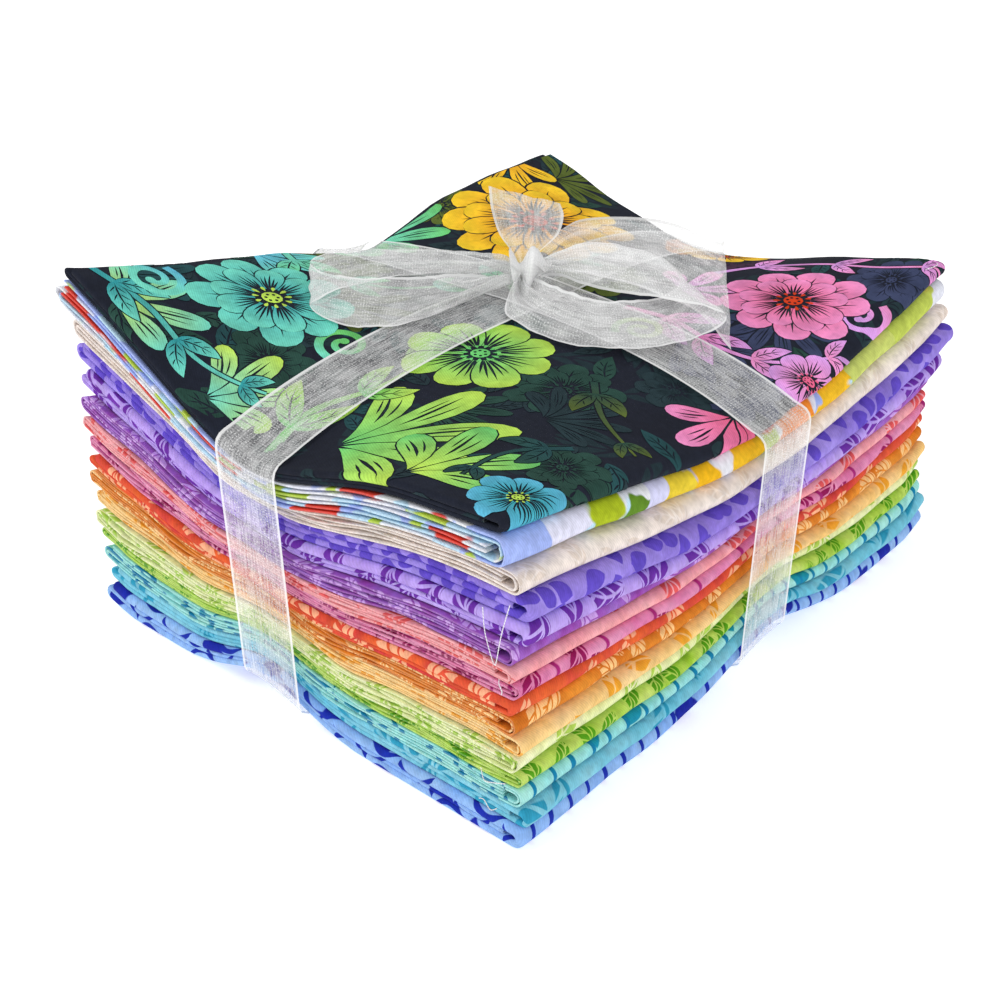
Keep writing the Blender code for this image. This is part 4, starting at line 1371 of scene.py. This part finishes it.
# The knot is the ribbon wound tightly round the gathers, nearly twice. It narrows to a point at
# its lower front.
KNOT_TURNS = 1.8
KNOT_ROWS = 24
KNOT_MIDDLE = (0.5, 2.0, 0.6)
KNOT_RADII = (6.2, 5.6)
KNOT_HALF = 4.9
KNOT_TAPER = 2.4
KNOT_START = 0.6
KNOT_INSIDE = 0.86
KNOT_PLEATS, KNOT_CRINKLE = 1.5, 0.25
winding = []
for step in np.linspace(0.0, 1.0, KNOT_ROWS):
    angle = step * KNOT_TURNS * math.tau + KNOT_START
    grow = KNOT_INSIDE + (1 - KNOT_INSIDE) * step
    winding.append(
        (
            KNOT_MIDDLE[0] + math.sin(angle),
            KNOT_MIDDLE[1] + KNOT_RADII[0] * grow * math.cos(angle),
            KNOT_MIDDLE[2] + KNOT_RADII[1] * grow * math.sin(angle),
            KNOT_HALF + KNOT_TAPER * math.sin(angle),
            0.0,
            0.0,
        )
    )
gathered_ribbon(
    "ribbon_bow_knot", winding, "ribbon_knot", 5, KNOT_PLEATS, KNOT_CRINKLE, sheer_knot
)


# Loose threads
# Fine ends of thread that have come off the cut edges. They hang on the front by the near corner,
# and one lies at the top of the right-hand corner.
THREAD_HALF = 0.00014
THREAD_SIDES = 6
THREAD_STEPS = 6
THREAD_TWIST = 0.0009
THREAD_SOFT = 0.8
THREAD_DARK, THREAD_LIGHT = (0.62, 0.60, 0.64), (0.92, 0.91, 0.93)
THREAD_SIDE = (0.3, 0.9, 0.3)
THREADS = (
    # the cotton it comes from, points of x, y, z in mm
    (2, ((83.4, -117.4, 81.4), (85.4, -118.8, 75.0), (88.0, -119.2, 68.2), (89.2, -119.3, 66.3),
         (89.9, -119.3, 67.6), (91.4, -118.9, 77.0), (93.0, -117.4, 86.3))),
    (5, ((89.4, -117.6, 60.4), (90.6, -119.0, 60.2), (91.8, -119.2, 58.4), (91.2, -118.8, 56.8))),
    (12, ((82.2, -117.2, 25.6), (84.8, -118.8, 23.4), (88.6, -119.2, 24.8), (92.6, -118.6, 26.2))),
    (14, ((81.6, -117.4, 14.0), (84.8, -118.9, 16.2), (87.4, -119.2, 14.2), (89.6, -118.8, 15.6))),
    (1, ((92.6, 97.0, 112.4), (94.4, 98.6, 113.3), (94.8, 100.8, 113.5), (93.6, 102.6, 113.2))),
)

thread_look, tree, shader, cloth = new_material("cotton_thread", COTTON_ROUGHNESS)
along, turn, _ = split(tree, cloth)
turned = calc(tree, "MULTIPLY_ADD", along, 1 / THREAD_TWIST, turn)
plies = above(tree, calc(tree, "SINE", calc(tree, "MULTIPLY", turned, math.tau)), 0.0, THREAD_SOFT)
tree.links.new(mix(tree, plies, THREAD_DARK, THREAD_LIGHT), shader.inputs["Base Color"])
for number, (index, line) in enumerate(THREADS, 1):
    path = between(line, THREAD_STEPS) * MM
    along = np.gradient(path, axis=0)
    side = unit(np.cross(along, THREAD_SIDE))
    over = unit(np.cross(along, side))
    turns = np.linspace(0.0, 1.0, THREAD_SIDES + 1)
    angles = turns[None, :, None] * math.tau
    ring = np.cos(angles) * side[:, None] + np.sin(angles) * over[:, None]
    points = path[:, None] + ring * THREAD_HALF
    thread = grid_mesh(f"loose_thread_{number}", points, run_length(path), turns)
    thread.data.materials.append(thread_look)
    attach(thread, "root")


# Floor and light
# A plain white surface and soft white light from all round, as in a product photograph, with one
# large lamp above the near left side and one on the right.
HALF_FLOOR = 6.0
FLOOR_LEVEL = -0.0002
FLOOR_COLOUR = (0.90, 0.90, 0.90, 1.0)
FLOOR_GLOW = 0.45
FLOOR_ROUGHNESS = 0.9
WHITE = (1.0, 1.0, 1.0, 1.0)
ALL_ROUND_LIGHT = 0.62
floor = put("floor", bpy.data.meshes.new("floor"))
corners = [(x * HALF_FLOOR, y * HALF_FLOOR, FLOOR_LEVEL) for x, y in ((-1, -1), (1, -1), (1, 1), (-1, 1))]
floor.data.from_pydata(corners, [], [(0, 1, 2, 3)])
floor_material = bpy.data.materials.new("floor_white")
floor_material.use_nodes = True
floor_shader = floor_material.node_tree.nodes["Principled BSDF"]
floor_shader.inputs["Base Color"].default_value = FLOOR_COLOUR
floor_shader.inputs["Emission Color"].default_value = WHITE
floor_shader.inputs["Emission Strength"].default_value = FLOOR_GLOW
floor_shader.inputs["Roughness"].default_value = FLOOR_ROUGHNESS
floor.data.materials.append(floor_material)

world = bpy.data.worlds.new("studio")
world.use_nodes = True
world.node_tree.nodes["Background"].inputs["Color"].default_value = WHITE
world.node_tree.nodes["Background"].inputs["Strength"].default_value = ALL_ROUND_LIGHT
bpy.context.scene.world = world
bpy.context.scene.view_settings.view_transform = "Standard"
LAMPS = (
    # name, place, size, watts
    ("lamp_left", (-0.9, -1.0, 1.3), 1.2, 12.0),
    ("lamp_right", (1.2, -0.3, 1.0), 1.2, 6.0),
)
for name, place, size, watts in LAMPS:
    lamp = put(name, bpy.data.lights.new(name, "AREA"))
    lamp.data.size = size
    lamp.data.energy = watts
    lamp.location = place
    lamp.rotation_euler = (LOOK_AT - Vector(place)).to_track_quat("-Z", "Y").to_euler()
